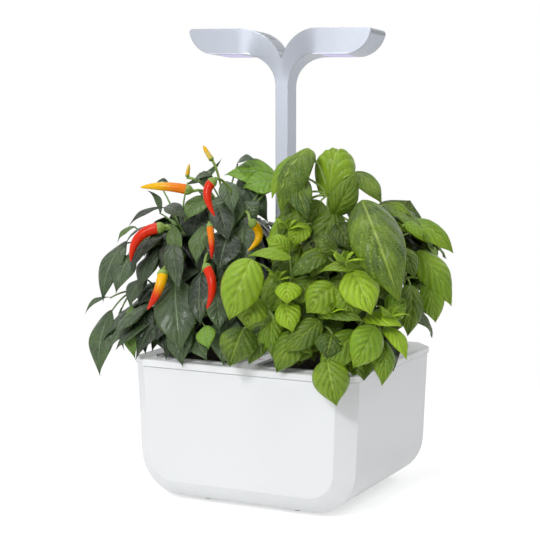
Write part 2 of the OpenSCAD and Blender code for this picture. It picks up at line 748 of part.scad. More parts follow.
module plant(leaves, backs, hubs, twigs, waist, cells) {
    for (w = twigs) shoot(w[0], w[1], w[2], w[3]);
    for (row = leaves) leaf(row, waist, cells);
    for (row = backs) leaf(row, waist, 2);
    for (row = concat(leaves, backs))
        shoot(nearest(row[0], hubs), row[0], 1.1, 0.9);
}

root_z = block_top - 5;
chili_hubs = [[-48, 2, 150], [-50, -4, 190], [-52, -6, 228], [-84, -26, 215], [-106, -36, 200],
              [-66, -48, 195], [-96, -44, 165], [-120, -44, 165], [-40, -56, 200], [-28, -22, 228],
              [-70, 44, 190], [-50, -66, 150], [-84, 10, 170]];
chili_twigs = [[[-46, 4, root_z], chili_hubs[0], 4, 3.4], [chili_hubs[0], chili_hubs[1], 3.4, 2.8],
               [chili_hubs[1], chili_hubs[2], 2.8, 2], [chili_hubs[1], chili_hubs[3], 2.4, 1.8],
               [chili_hubs[3], chili_hubs[4], 1.8, 1.3], [chili_hubs[1], chili_hubs[5], 2.2, 1.6],
               [chili_hubs[0], chili_hubs[6], 2.4, 1.8], [chili_hubs[6], chili_hubs[7], 1.8, 1.3],
               [chili_hubs[1], chili_hubs[8], 2, 1.4], [chili_hubs[2], chili_hubs[9], 1.8, 1.3],
               [chili_hubs[0], chili_hubs[10], 2.4, 1.6], [chili_hubs[0], chili_hubs[11], 2.2, 1.6],
               [chili_hubs[0], chili_hubs[12], 2.2, 1.6]];
chili_leaves = [
    [[-72, -62, 214], [-50, -88, 173], 16, -75, 15, 6, -0.2],
    [[-65, -70, 183], [-45, -96, 125], 34, -70, 10, 8, -0.15],
    [[-43, -66, 189], [-32, -88, 147], 19, -80, 10, 5, -0.2],
    [[-27, -70, 172], [-16, -86, 144], 17, -60, 15, 4, -0.2],
    [[-26, -50, 220], [-24, -72, 190], 27, -70, 25, 5, -0.1],
    [[-42, -40, 241], [-20, -62, 212], 19, -60, 25, 5, -0.2],
    [[-41, -26, 259], [-22, -50, 234], 16, -60, 30, 5, -0.2],
    [[-46, 6, 259], [-13, -4, 223], 20, -75, 40, 8, -0.15],
    [[-25, -24, 243], [-13, -26, 227], 16, -70, 30, 4, -0.1],
    [[-129, -40, 207], [-139, -62, 156], 21, -130, 20, 10, -0.3],
    [[-120, -44, 197], [-124, -66, 165], 17, -110, 15, 6, -0.2],
    [[-133, -58, 161], [-148, -76, 148], 7, -100, 60, 6, -0.2],
    [[-135, -56, 150], [-138, -70, 95], 23, -110, 15, 8, -0.25],
    [[-130, -48, 151], [-121, -58, 116], 6, -90, 20, 5, -0.2],
    [[-113, -60, 155], [-97, -80, 114], 18, -90, 15, 6, -0.2],
    [[-104, -52, 179], [-107, -72, 156], 18, -100, 20, 5, -0.2],
    [[-88, -10, 254], [-64, 10, 276], 7, -90, 30, -8, 0.2],
    [[-105, -24, 229], [-115, -30, 249], 8, -120, 20, -7, 0.2],
    [[-122, 0, 254], [-114, 8, 252], 5, -90, 50, 3, 0],
    [[-55, -30, 246], [-64, -58, 226], 17, -80, 35, 5, -0.1],
    [[-94, -34, 237], [-59, -58, 230], 12, -80, 35, 4, -0.1],
    [[-50, -50, 224], [-43, -74, 194], 16, -80, 15, 6, -0.3],
    [[-76, -54, 223], [-58, -72, 195], 13, -80, 15, 5, -0.2],
    [[-98, -26, 235], [-121, -50, 220], 9, -100, 60, 6, -0.2],
    [[-122, -36, 219], [-133, -48, 206], 8, -110, 50, 4, -0.2],
    [[-104, -48, 216], [-100, -64, 197], 12, -90, 20, 4, -0.2],
    [[-30, -84, 148], [-20, -96, 131], 16, -75, 15, 4, -0.3],
    [[-47, -72, 140], [-26, -88, 120], 16, -70, 15, 4, -0.2],
    [[-48, 6, 271], [-24, -4, 275], 9, -90, 50, 5, -0.2],
    [[-75, -18, 259], [-51, -30, 263], 8, -80, 45, 3, 0],
    [[-57, -20, 254], [-69, -22, 265], 10, -80, 30, 4, 0],
    [[-96, -62, 156], [-86, -82, 119], 18, -85, 12, 6, -0.2],
    [[-85, -60, 148], [-68, -80, 122], 17, -80, 10, 5, -0.2],
    [[-79, -40, 211], [-91, -62, 197], 13, -90, 30, 5, -0.2],
    [[-61, -40, 204], [-32, -62, 179], 16, -70, 20, 5, -0.2],
    [[-29, -34, 213], [-14, -46, 195], 14, -60, 20, 5, -0.2],
    [[-15, 14, 264], [-57, 0, 264], 18, -80, 55, 6, -0.2],
    [[-10, 10, 256], [-38, -6, 258], 18, -80, 45, 6, -0.2]
];

basil_hubs = [[46, -10, 150], [58, -40, 180], [82, -50, 176], [50, -20, 215], [50, -22, 250],
              [76, -26, 226], [98, -20, 205], [66, 30, 200], [100, -52, 162], [34, -62, 172],
              [62, -66, 150], [110, -10, 185], [34, -80, 150]];
basil_twigs = [[[44, -6, root_z], basil_hubs[0], 3.2, 2.8], [basil_hubs[0], basil_hubs[1], 2.6, 2.2],
               [basil_hubs[1], basil_hubs[2], 2.2, 1.6], [basil_hubs[0], basil_hubs[3], 2.8, 2.4],
               [basil_hubs[3], basil_hubs[4], 2.4, 2], [basil_hubs[3], basil_hubs[5], 2, 1.6],
               [[60, 20, root_z], basil_hubs[6], 2.6, 1.6], [[50, 40, root_z], basil_hubs[7], 2.6, 1.8],
               [basil_hubs[2], basil_hubs[8], 1.6, 1.3], [basil_hubs[0], basil_hubs[9], 2, 1.4],
               [[54, -40, root_z], basil_hubs[10], 2.4, 1.8], [basil_hubs[6], basil_hubs[11], 1.6, 1.3],
               [basil_hubs[10], basil_hubs[12], 1.6, 1.3]];
basil_leaves = [
    [[22, -104, 206], [8, -116, 159], 42, -72, 12, 12, -0.45],
    [[18, -92, 176], [17, -104, 152], 27, -70, 5, 6, -0.3],
    [[12, -98, 152], [8, -115, 123], 30, -70, 10, 8, -0.35],
    [[23, -84, 151], [15, -96, 122], 19, -70, 10, 6, -0.3],
    [[46, -88, 188], [49, -98, 172], 22, -75, 20, 6, -0.35],
    [[41, -86, 172], [55, -100, 151], 22, -70, 12, 6, -0.35],
    [[71, -84, 159], [48, -100, 135], 20, -60, 25, 5, -0.25],
    [[81, -78, 186], [64, -96, 166], 33, -70, 30, 8, -0.4],
    [[69, -70, 209], [46, -88, 191], 18, -75, 50, 6, -0.25],
    [[91, -74, 198], [118, -96, 168], 33, -60, 25, 9, -0.4],
    [[102, -66, 200], [66, -80, 195], 14, -75, 60, 7, -0.25],
    [[67, -80, 166], [109, -90, 162], 18, -60, 50, 6, -0.25],
    [[115, -80, 157], [104, -98, 127], 28, -55, 20, 8, -0.35],
    [[81, -84, 150], [82, -98, 133], 26, -70, 15, 6, -0.35],
    [[82, -96, 132], [95, -108, 99], 30, -70, 12, 8, -0.4],
    [[115, -66, 145], [121, -82, 112], 20, -50, 8, 8, -0.4],
    [[115, -62, 154], [138, -74, 132], 15, -40, 30, 8, -0.3],
    [[100, -68, 162], [136, -78, 158], 16, -60, 45, 6, -0.3],
    [[115, -60, 165], [131, -56, 175], 21, -60, 25, 6, -0.3],
    [[91, -52, 248], [136, -82, 179], 53, -60, 22, 16, -0.3],
    [[41, -20, 249], [52, -28, 289], 43, -75, 18, 14, -0.5],
    [[44, -30, 258], [14, -40, 270], 24, -80, 35, 8, -0.35],
    [[22, -34, 268], [47, -56, 233], 22, -70, 25, 8, -0.3],
    [[60, -34, 235], [81, -40, 270], 24, -60, 20, 8, -0.4],
    [[68, -20, 269], [101, -36, 246], 21, -50, 35, 10, -0.4],
    [[86, -4, 242], [112, 0, 234], 11, -70, 60, 6, -0.2],
    [[106, 6, 229], [144, 10, 205], 22, -50, 40, 10, -0.25],
    [[118, -4, 207], [147, -1, 164], 26, -50, 25, 10, -0.3],
    [[130, -10, 184], [136, -8, 151], 19, -60, 15, 8, -0.3],
    [[122, -26, 183], [125, -40, 144], 22, -55, 12, 8, -0.35],
    [[113, -16, 231], [130, -22, 217], 11, -60, 40, 5, -0.3],
    [[104, -44, 232], [80, -56, 214], 18, -70, 40, 6, -0.2],
    [[76, -66, 211], [60, -72, 222], 16, -70, 40, 5, -0.2],
    [[39, -72, 209], [22, -80, 220], 20, -75, 35, 6, -0.35],
    [[46, -84, 206], [14, -96, 207], 13, -75, 60, 6, -0.2],
    [[64, -40, 230], [83, -52, 210], 21, -70, 30, 5, -0.2],
    [[42, -50, 230], [35, -62, 212], 18, -75, 30, 5, -0.2],
    [[28, -80, 161], [33, -92, 130], 18, -75, 12, 6, -0.3],
    [[117, -40, 213], [134, -48, 191], 18, -55, 30, 6, -0.3],
    [[48, -76, 147], [65, -88, 133], 22, -70, 15, 6, -0.3]
];

module chili_plant() color("#3f5a34")
    plant(chili_leaves, back_leaves(-1, 22, 24, 114, 110), chili_hubs, chili_twigs, 0.9, 2);
module basil_plant() color("#7ba82e")
    plant(basil_leaves, back_leaves(1, 20, 32, 114, 122), basil_hubs, basil_twigs, 0.75, 4);

// Fruits: [stalk end, middle, tip, diameter]
fruits = [
    [[-64, -46, 252], [-83, -54, 255], [-103, -60, 254], 8.2],
    [[-82, -60, 222], [-99, -69, 214], [-104, -74, 194], 9.1],
    [[-32, -64, 262], [-35, -70, 251], [-27, -72, 234], 7.7],
    [[-32, -72, 227], [-27, -78, 214], [-26, -80, 201], 5.5],
    [[-13, -30, 226], [-11, -20, 214], [-13, -36, 204], 7.3],
    [[-68, -84, 189], [-68, -92, 175], [-77, -94, 159], 8.6],
    [[-28, -86, 196], [-19, -92, 181], [-23, -94, 163], 7.7],
    [[-63, -10, 275], [-67, -12, 282], [-70, -12, 287], 4.5],
    [[-90, -4, 260], [-89, -4, 266], [-88, -4, 271], 3.6],
    [[-80, 50, 240], [-88, 58, 230], [-90, 62, 212], 8]];
fruit_shape = [0.62, 0.95, 1, 0.92, 0.74, 0.46, 0.12];
module chili_fruits() color("#e2431e") for (f = fruits) {
    path = bend(f[0], f[1], f[2], len(fruit_shape) - 1);
    tube(path, [for (s = fruit_shape) s * f[3] / 2], 8);
    // calyx and stalk
    shoot(path[0], path[0] - 0.12 * (path[1] - path[0]), f[3] * 0.36, f[3] * 0.2);
    shoot(path[0], nearest(path[0], chili_hubs), 0.9, 0.9);
}

// ---- Build -------------------------------------------------------------------------

tank_shell();
feet();
gauge_guide();
mast_grip_pads();
lid();
lid_seal();
filler_plug();
water_float();
gauge_stem();
left() cartridge_tray();  // cartridge_left_tray
left() cartridge_block();  // cartridge_left_block
left() cartridge_wick();  // cartridge_left_wick
left() cartridge_rim();  // cartridge_left_rim
right() cartridge_tray();  // cartridge_right_tray
right() cartridge_block();  // cartridge_right_block
right() cartridge_wick();  // cartridge_right_wick
right() cartridge_rim();  // cartridge_right_rim
chili_plant();
chili_fruits();
basil_plant();
lamp_housing();
mast_back_cover();
lamp_top(-1);  // lamp_top_left
lamp_top(1);  // lamp_top_right
light_window(-1);  // light_window_left
light_window(1);  // light_window_right
led_board(-1);  // led_board_left
led_board(1);  // led_board_right
led_lenses();
heat_spreader(-1);  // heat_spreader_left
heat_spreader(1);  // heat_spreader_right
driver_board();
power_inlet();
lamp_wires();
lamp_screws();
power_button();
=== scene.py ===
"""The looks of a countertop hydroponic garden: a white water tank with a lift-off lid, two
growing cartridges, a chilli plant, a basil plant and a silver grow lamp on a mast.

Lengths are in metres, except where a comment says millimetres. +Z is up and the front faces -Y.
"""
import math

import bmesh
import bpy
import numpy as np
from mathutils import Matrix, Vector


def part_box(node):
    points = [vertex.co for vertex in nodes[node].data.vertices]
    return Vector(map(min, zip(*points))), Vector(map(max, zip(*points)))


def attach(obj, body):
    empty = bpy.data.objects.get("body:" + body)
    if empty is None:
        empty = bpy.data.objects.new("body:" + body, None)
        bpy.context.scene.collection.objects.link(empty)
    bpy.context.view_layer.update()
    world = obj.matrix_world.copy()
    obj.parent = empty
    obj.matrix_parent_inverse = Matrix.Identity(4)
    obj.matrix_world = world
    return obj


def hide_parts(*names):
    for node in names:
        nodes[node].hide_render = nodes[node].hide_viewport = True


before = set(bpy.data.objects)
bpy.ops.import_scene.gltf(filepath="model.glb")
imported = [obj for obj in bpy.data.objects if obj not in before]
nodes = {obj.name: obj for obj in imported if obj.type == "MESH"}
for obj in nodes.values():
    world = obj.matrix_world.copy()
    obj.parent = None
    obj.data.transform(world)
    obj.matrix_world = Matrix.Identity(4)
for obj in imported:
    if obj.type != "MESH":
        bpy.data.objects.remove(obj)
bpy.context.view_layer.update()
MM = 0.001
SEED = 7


# ---- Camera, light and floor ---------------------------------------------------------

CAMERA_PLACE = (0.5723, -1.1879, 0.3492)
CAMERA_TURN = 0.4584          # about the vertical, to the left
CAMERA_DOWN = 0.1241          # below the horizon
CAMERA_LENS = 106.71          # on a 36 mm sensor
FLOOR_SIZE = 12.0
FLOOR_WHITE = 0.9
FLOOR_GLOW = 0.55             # added for the camera alone, so that the floor shows white
SHADOW_FROM, SHADOW_REACH = 0.275, 0.55    # from the middle, between them the floor turns white
WORLD_LEVEL = 0.36
# Square lamps: name, place, height of the point on the middle axis they face, size and power
LAMPS = [
    ("key_light", (0.05, -1.7, 1.15), 0.2, 0.4, 13.5),
    ("front_light", (-0.6, -1.8, 0.45), 0.3, 0.5, 2.0),
    ("top_light", (-0.3, -0.3, 1.6), 0.2, 0.7, 8),
    ("back_light", (0.8, 0.8, 1.2), 0.2, 0.7, 3),
]


def make_camera():
    data = bpy.data.cameras.new("camera")
    data.lens = CAMERA_LENS
    data.sensor_width = 36.0
    camera = bpy.data.objects.new("camera", data)
    camera.location = CAMERA_PLACE
    camera.rotation_euler = (math.pi / 2 - CAMERA_DOWN, 0, CAMERA_TURN)
    bpy.context.scene.collection.objects.link(camera)
    bpy.context.scene.camera = camera


def make_lamp(name, place, target_z, size, power):
    data = bpy.data.lights.new(name, "AREA")
    data.shape = "SQUARE"
    data.size = size
    data.energy = power
    lamp = bpy.data.objects.new(name, data)
    lamp.location = place
    aim = np.array([0, 0, target_z], float) - np.array(place, float)
    flat = math.hypot(aim[0], aim[1])
    lamp.rotation_euler = (math.atan2(flat, -aim[2]), 0, math.atan2(-aim[0], aim[1]))
    bpy.context.scene.collection.objects.link(lamp)


def seen_directly(tree):
    """1 for rays from the camera and for mirror and glass rays, and 0 for the rest."""
    path = tree.nodes.new("ShaderNodeLightPath")
    seen = None
    for ray in ("Is Camera Ray", "Is Glossy Ray", "Is Transmission Ray"):
        if seen is None:
            seen = path.outputs[ray]
        else:
            seen = math_node(tree, "MAXIMUM", seen, path.outputs[ray])
    return seen


def make_world():
    """Even white light, and a plain white background for the camera."""
    world = bpy.data.worlds.new("world")
    bpy.context.scene.world = world
    world.use_nodes = True
    tree = world.node_tree
    background = tree.nodes["Background"]
    background.inputs["Color"].default_value = (1, 1, 1, 1)
    level = blend_value(tree, seen_directly(tree), WORLD_LEVEL, 1.0)
    tree.links.new(level, background.inputs["Strength"])


def make_floor():
    """A white floor that keeps the soft shadow near the object and is plain white beyond."""
    half = FLOOR_SIZE / 2
    corners = [(-half, -half, 0), (half, -half, 0), (half, half, 0), (-half, half, 0)]
    mesh = bpy.data.meshes.new("floor")
    mesh.from_pydata(corners, [], [(0, 1, 2, 3)])
    floor = bpy.data.objects.new("floor", mesh)
    bpy.context.scene.collection.objects.link(floor)
    material = bpy.data.materials.new("floor")
    material.use_nodes = True
    tree = material.node_tree
    tree.nodes.clear()
    output = tree.nodes.new("ShaderNodeOutputMaterial")
    paint = tree.nodes.new("ShaderNodeBsdfDiffuse")
    paint.inputs["Color"].default_value = (FLOOR_WHITE,) * 3 + (1,)
    glow = tree.nodes.new("ShaderNodeEmission")
    tree.links.new(blend_value(tree, seen_directly(tree), 0.0, FLOOR_GLOW), glow.inputs["Strength"])
    near = tree.nodes.new("ShaderNodeAddShader")
    tree.links.new(paint.outputs[0], near.inputs[0])
    tree.links.new(glow.outputs[0], near.inputs[1])
    plain = tree.nodes.new("ShaderNodeEmission")
    reach = tree.nodes.new("ShaderNodeVectorMath")
    reach.operation = "LENGTH"
    tree.links.new(object_coords(tree), reach.inputs[0])
    far = ramp_value(tree, reach.outputs["Value"], SHADOW_FROM, SHADOW_REACH)
    far = math_node(tree, "MULTIPLY", far, seen_directly(tree))
    mix = tree.nodes.new("ShaderNodeMixShader")
    tree.links.new(far, mix.inputs[0])
    tree.links.new(near.outputs[0], mix.inputs[1])
    tree.links.new(plain.outputs[0], mix.inputs[2])
    tree.links.new(mix.outputs[0], output.inputs["Surface"])
    mesh.materials.append(material)


# ---- Small node helpers --------------------------------------------------------------


def plug(tree, value, socket):
    """Puts a number, a colour or another node's output into a socket."""
    if isinstance(value, bpy.types.NodeSocket):
        tree.links.new(value, socket)
    elif isinstance(value, (tuple, list)):
        socket.default_value = tuple(value) if len(value) == len(socket.default_value) else (*value, 1)
    else:
        socket.default_value = value


def math_node(tree, operation, a, b=0.5):
    """An operation on a and b. Those on one number leave b out of account."""
    node = tree.nodes.new("ShaderNodeMath")
    node.operation = operation
    plug(tree, a, node.inputs[0])
    plug(tree, b, node.inputs[1])
    return node.outputs[0]


def ramp_value(tree, value, low, high, to_low=0.0, to_high=1.0):
    """value taken smoothly from low..high to to_low..to_high, and held outside that range."""
    node = tree.nodes.new("ShaderNodeMapRange")
    node.interpolation_type = "SMOOTHSTEP"
    for item, name in ((value, "Value"), (low, "From Min"), (high, "From Max"),
                       (to_low, "To Min"), (to_high, "To Max")):
        plug(tree, item, node.inputs[name])
    return node.outputs["Result"]


def blend_value(tree, share, a, b):
    """a at share 0 and b at share 1."""
    node = tree.nodes.new("ShaderNodeMix")
    node.data_type = "FLOAT"
    for item, name in ((share, "Factor"), (a, "A"), (b, "B")):
        plug(tree, item, node.inputs[name])
    return node.outputs["Result"]


def blend_colour(tree, share, a, b, way="MIX"):
    """Colour a at share 0 and b at share 1, or the given way of laying b over a."""
    node = tree.nodes.new("ShaderNodeMix")
    node.data_type = "RGBA"
    node.blend_type = way
    plug(tree, share, node.inputs[0])
    plug(tree, a, node.inputs[6])
    plug(tree, b, node.inputs[7])
    return node.outputs[2]


def object_coords(tree):
    return tree.nodes.new("ShaderNodeTexCoord").outputs["Object"]


def noise_value(tree, scale, detail=2.0, vector=None, roughness=0.5):
    """Noise of about scale lumps per metre, on Object coordinates unless a vector is given."""
    if vector is None:
        vector = object_coords(tree)
    node = tree.nodes.new("ShaderNodeTexNoise")
    tree.links.new(vector, node.inputs["Vector"])
    node.inputs["Scale"].default_value = scale
    node.inputs["Detail"].default_value = detail
    node.inputs["Roughness"].default_value = roughness
    return node.outputs["Fac"]


def stretched(tree, scale):
    """Object coordinates scaled along each axis, so that a noise on them is drawn out."""
    node = tree.nodes.new("ShaderNodeMapping")
    node.inputs["Scale"].default_value = scale
    tree.links.new(object_coords(tree), node.inputs["Vector"])
    return node.outputs["Vector"]


def bump_normal(tree, height, distance, normal=None, strength=1.0):
    """A normal tilted by a height times a distance in metres, over another normal if given."""
    node = tree.nodes.new("ShaderNodeBump")
    node.inputs["Strength"].default_value = strength
    node.inputs["Distance"].default_value = distance
    tree.links.new(height, node.inputs["Height"])
    if normal is not None:
        tree.links.new(normal, node.inputs["Normal"])
    return node.outputs["Normal"]


def set_inputs(tree, shader, **sockets):
    """Plugs values into a shader's inputs, by their names with underscores for spaces."""
    for key, value in sockets.items():
        plug(tree, value, shader.inputs[key.replace("_", " ")])


def new_material(name, colour, roughness, metallic=0.0, **sockets):
    """A Principled material; sockets are plain values for its other inputs."""
    material = bpy.data.materials.new(name)
    material.use_nodes = True
    tree = material.node_tree
    shader = tree.nodes["Principled BSDF"]
    set_inputs(tree, shader, Base_Color=colour, Roughness=roughness, Metallic=metallic, **sockets)
    return material, tree, shader


def srgb(text):
    """The linear colour of a hex code."""
    parts = [int(text[i:i + 2], 16) / 255 for i in (0, 2, 4)]
    return tuple(c / 12.92 if c <= 0.04045 else ((c + 0.055) / 1.055) ** 2.4 for c in parts)


def toned(text, share):
    """The linear colour of a hex code, times a share."""
    return tuple(c * share for c in srgb(text))


# ---- Finishes of the housings --------------------------------------------------------
# Depths of relief are in metres.

BEVEL_SAMPLES = 6
PLASTIC_GRAIN, SINK_DEPTH = 0.00002, 0.0003
METAL_GRAIN, BRUSH_DEPTH = 0.00004, 0.00004
RUBBER_GRAIN, FELT_DEPTH = 0.0001, 0.0004
FROST_DEPTH, TRACK_DEPTH = 0.00003, 0.00003


def soft_edges(tree, radius):
    """A normal that rounds every edge of a moulding by the radius."""
    node = tree.nodes.new("ShaderNodeBevel")
    node.samples = BEVEL_SAMPLES
    node.inputs["Radius"].default_value = radius
    return node.outputs["Normal"]


def moulded_plastic(name, colour, roughness, grain=PLASTIC_GRAIN, edge=0.0006):
    """Moulded plastic: a fine spark-eroded grain, which also varies the sheen, and faint sink."""
    material, tree, shader = new_material(name, srgb(colour), roughness)
    grain_noise = noise_value(tree, scale=2600, detail=2)
    sink = noise_value(tree, scale=9, detail=1)
    normal = bump_normal(tree, grain_noise, grain, soft_edges(tree, edge), strength=0.6)
    normal = bump_normal(tree, sink, SINK_DEPTH, normal, strength=0.25)
    sheen = ramp_value(tree, grain_noise, 0.2, 0.8, roughness - 0.03, roughness + 0.04)
    set_inputs(tree, shader, Normal=normal, Roughness=sheen)
    return material


def satin_metal(name, colour, roughness, edge):
    """Bead-blasted and anodised aluminium: a fine sparkle in the grain under a soft sheen."""
    material, tree, shader = new_material(name, srgb(colour), roughness, metallic=0.85)
    grain = noise_value(tree, scale=3200, detail=3)
    cloud = ramp_value(tree, noise_value(tree, scale=14, detail=2), 0.35, 0.65)
    normal = bump_normal(tree, grain, METAL_GRAIN, soft_edges(tree, edge), strength=0.5)
    sheen = ramp_value(tree, grain, 0.3, 0.7, roughness - 0.06, roughness + 0.08)
    set_inputs(tree, shader, Normal=normal, Roughness=sheen,
               Base_Color=blend_colour(tree, cloud, toned(colour, 0.93), srgb(colour)))
    return material


def rubber(name, colour):
    """Matt rubber with slightly paler worn patches."""
    material, tree, shader = new_material(name, srgb(colour), 0.75)
    normal = bump_normal(tree, noise_value(tree, scale=1800, detail=4), RUBBER_GRAIN)
    worn = ramp_value(tree, noise_value(tree, scale=60, detail=3), 0.4, 0.7)
    set_inputs(tree, shader, Normal=normal,
               Base_Color=blend_colour(tree, worn, srgb(colour), toned(colour, 1.5)))
    return material


def milky_window(name):
    """A milky light window that glows faintly lavender, as grow lights do."""
    material, tree, shader = new_material(name, srgb("CFCBE4"), 0.35,
                                          Emission_Color=srgb("B09CFF"), Emission_Strength=0.3)
    frost = noise_value(tree, scale=1500, detail=2)
    set_inputs(tree, shader, Normal=bump_normal(tree, frost, FROST_DEPTH),
               Roughness=ramp_value(tree, frost, 0.3, 0.7, 0.3, 0.42))
    return material


def felt(name, colour):
    """Needled felt: short tangled fibres."""
    material, tree, shader = new_material(name, srgb(colour), 0.95, Sheen_Weight=0.4)
    fibre = noise_value(tree, scale=1400, detail=6, roughness=0.7)
    set_inputs(tree, shader, Normal=bump_normal(tree, fibre, FELT_DEPTH),
               Base_Color=blend_colour(tree, fibre, toned(colour, 0.75), srgb(colour)))
    return material


def circuit_board(name, colour):
    """Solder mask with faint darker tracks under it."""
    material, tree, shader = new_material(name, srgb(colour), 0.35, Coat_Weight=0.3)
    tracks = tree.nodes.new("ShaderNodeTexBrick")
    tracks.inputs["Scale"].default_value = 260
    tracks.inputs["Mortar Size"].default_value = 0.04
    tree.links.new(object_coords(tree), tracks.inputs["Vector"])
    line = ramp_value(tree, tracks.outputs["Fac"], 0.3, 0.7)
    set_inputs(tree, shader, Base_Color=blend_colour(tree, line, srgb(colour), toned(colour, 0.6)),
               Normal=bump_normal(tree, line, TRACK_DEPTH))
    return material


def bare_metal(name, colour, roughness):
    """Metal brushed along X."""
    material, tree, shader = new_material(name, srgb(colour), roughness, metallic=1.0)
    brushed = noise_value(tree, scale=2500, detail=3, vector=stretched(tree, (0.04, 1, 1)))
    set_inputs(tree, shader, Normal=bump_normal(tree, brushed, BRUSH_DEPTH),
               Roughness=ramp_value(tree, brushed, 0.3, 0.7, roughness - 0.05, roughness + 0.1))
    return material


def clear_dome(name):
    """The clear lens of a light, which glows over its yellowish chip."""
    material, tree, shader = new_material(name, srgb("FFF6DC"), 0.08, Coat_Weight=0.5,
                                          Emission_Color=srgb("CDBBFF"), Emission_Strength=2.0)
    glow = ramp_value(tree, noise_value(tree, scale=900, detail=1), 0.3, 0.7)
    set_inputs(tree, shader, Base_Color=blend_colour(tree, glow, srgb("FFF6DC"), srgb("F2D98A")))
    return material


SHARP_DEG = 26.0              # an edge that bends more than this stays sharp
WELD_MM, FLAT_DEG = 0.002, 0.3


def smooth_copy(node, body, material, slabs=(), reform=None):
    """A CAD node's own form with its facets welded and smoothed, but for its sharp edges. slabs
    are added along the wings' ends. For reform, the form is cut finely and its points moved."""
    mesh = nodes[node].data.copy()
    form = bmesh.new()
    form.from_mesh(mesh)
    bmesh.ops.remove_doubles(form, verts=form.verts, dist=WELD_MM * MM)
    bmesh.ops.dissolve_limit(form, angle_limit=math.radians(FLAT_DEG), verts=form.verts,
                             edges=form.edges)
    for slab in slabs:
        wing_end_slab(form, *slab)
    if reform:
        for axis, places in ((0, CUTS_X), (2, CUTS_Z)):
            for at in places:
                point, normal = [0, 0, 0], [0, 0, 0]
                point[axis], normal[axis] = at * MM, 1
                bmesh.ops.bisect_plane(form, geom=form.verts[:] + form.edges[:] + form.faces[:],
                                       dist=CUT_NEAR, plane_co=point, plane_no=normal)
        moved = reform(np.array([v.co for v in form.verts]) / MM) * MM
        for vertex, place in zip(form.verts, moved):
            vertex.co = place
    bmesh.ops.triangulate(form, faces=[f for f in form.faces if len(f.verts) > 4])
    for face in form.faces:
        face.smooth = True
    sharp = math.radians(SHARP_DEG)
    for edge in form.edges:
        edge.smooth = len(edge.link_faces) == 2 and edge.calc_face_angle(0.0) < sharp
    form.to_mesh(mesh)
    form.free()
    mesh.materials.clear()
    mesh.materials.append(material)
    piece = bpy.data.objects.new(node + "_form", mesh)
    bpy.context.scene.collection.objects.link(piece)
    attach(piece, body)
    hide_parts(node)
    return piece


# The lamp's form, in millimetres and degrees. What starts with OLD is the CAD form's.
MAST_Y, MAST_HALF, WING_HALF = 1.4, 8.0, 15.8      # middle and half depths, front to back
WING_LOW, LAMP_TOP = 361.0, 382.0                  # the wings' underside and top
BEND_X, BEND_Z = 30.55, 336.0                      # centre of the bend from the mast to a wing
BEND_FROM, BEND_POWER = 8, 1.8                     # where the depth starts to grow, and how
TIP_X, TIP_R, CORNER_X, CORNER_R = 58.5, 23.4, 78.3, 3.0    # a wing's end and its top corner
OLD_FLARE_BELOW, OLD_FLARE_RISE, OLD_FLARE_POWER = 34, 35, 2.6    # how its depth grows upwards
OLD_RIM, RIM = 2.4, 1.6                            # width of the housing's rim beside a top cover
OLD_WINDOW, WINDOW = (44.4, 14, 8), (46.6, 12, 11.5)    # middle, half length and half depth
WINDOW_TALL = 3                                    # from the wings' underside to above a window
WING_LEAN, LEAN_FROM, LEAN_RISE = 4.2, 300, 27     # the wings' back edges are the lower ones
CUT, CUT_NEAR = 2.0, 1e-6                          # distance of the cuts, and their precision
CUTS_X = [side * x for side in (-1, 1) for x in np.arange(CUT, 81, CUT)] + [0]
CUTS_Z = np.arange(302, 382, CUT)
# Slabs along a wing's end: lowest, highest, half depth, how proud of the end and how deep
END_SLAB = (363.5, 369, 13.2, 0.02, 0.8)
LIP_SLAB = (377.4, 379.6, 13.2, 0.03, 0.6)
SLAB_STEPS = 8


def smooth_step(share):
    """A share from 0 to 1 with a soft start and end."""
    return share * share * (3 - 2 * share)


def wing_end(z):
    """Distance of a wing's end from the middle at the height z: the tip's arc, then its corner."""
    if z < LAMP_TOP - CORNER_R:
        return TIP_X + math.sqrt(TIP_R ** 2 - (WING_LOW + TIP_R - z) ** 2)
    return CORNER_X + math.sqrt(max(CORNER_R ** 2 - (z - LAMP_TOP + CORNER_R) ** 2, 0))


def wing_end_slab(form, side, low, high, half, proud, depth):
    """A slab along a wing's end from the height low to high, its outer face proud of the end."""
    near = 0.01               # the end's slope is taken over twice this height
    rings = []
    for z in np.linspace(low, high, SLAB_STEPS + 1):
        x, slope = wing_end(z), wing_end(z + near) - wing_end(z - near)
        nx, nz = unit(np.array([2 * near, -slope]))
        rings.append([form.verts.new((side * (x + d * nx) * MM, (MAST_Y + y) * MM, (z + d * nz) * MM))
                      for y, d in ((-half, proud), (half, proud), (half, -depth), (-half, -depth))])
    faces = [form.faces.new([a[i], a[(i + 1) % 4], b[(i + 1) % 4], b[i]])
             for a, b in zip(rings, rings[1:]) for i in range(4)]
    faces += [form.faces.new(rings[0][::-1]), form.faces.new(rings[-1])]
    bmesh.ops.recalc_face_normals(form, faces=faces)


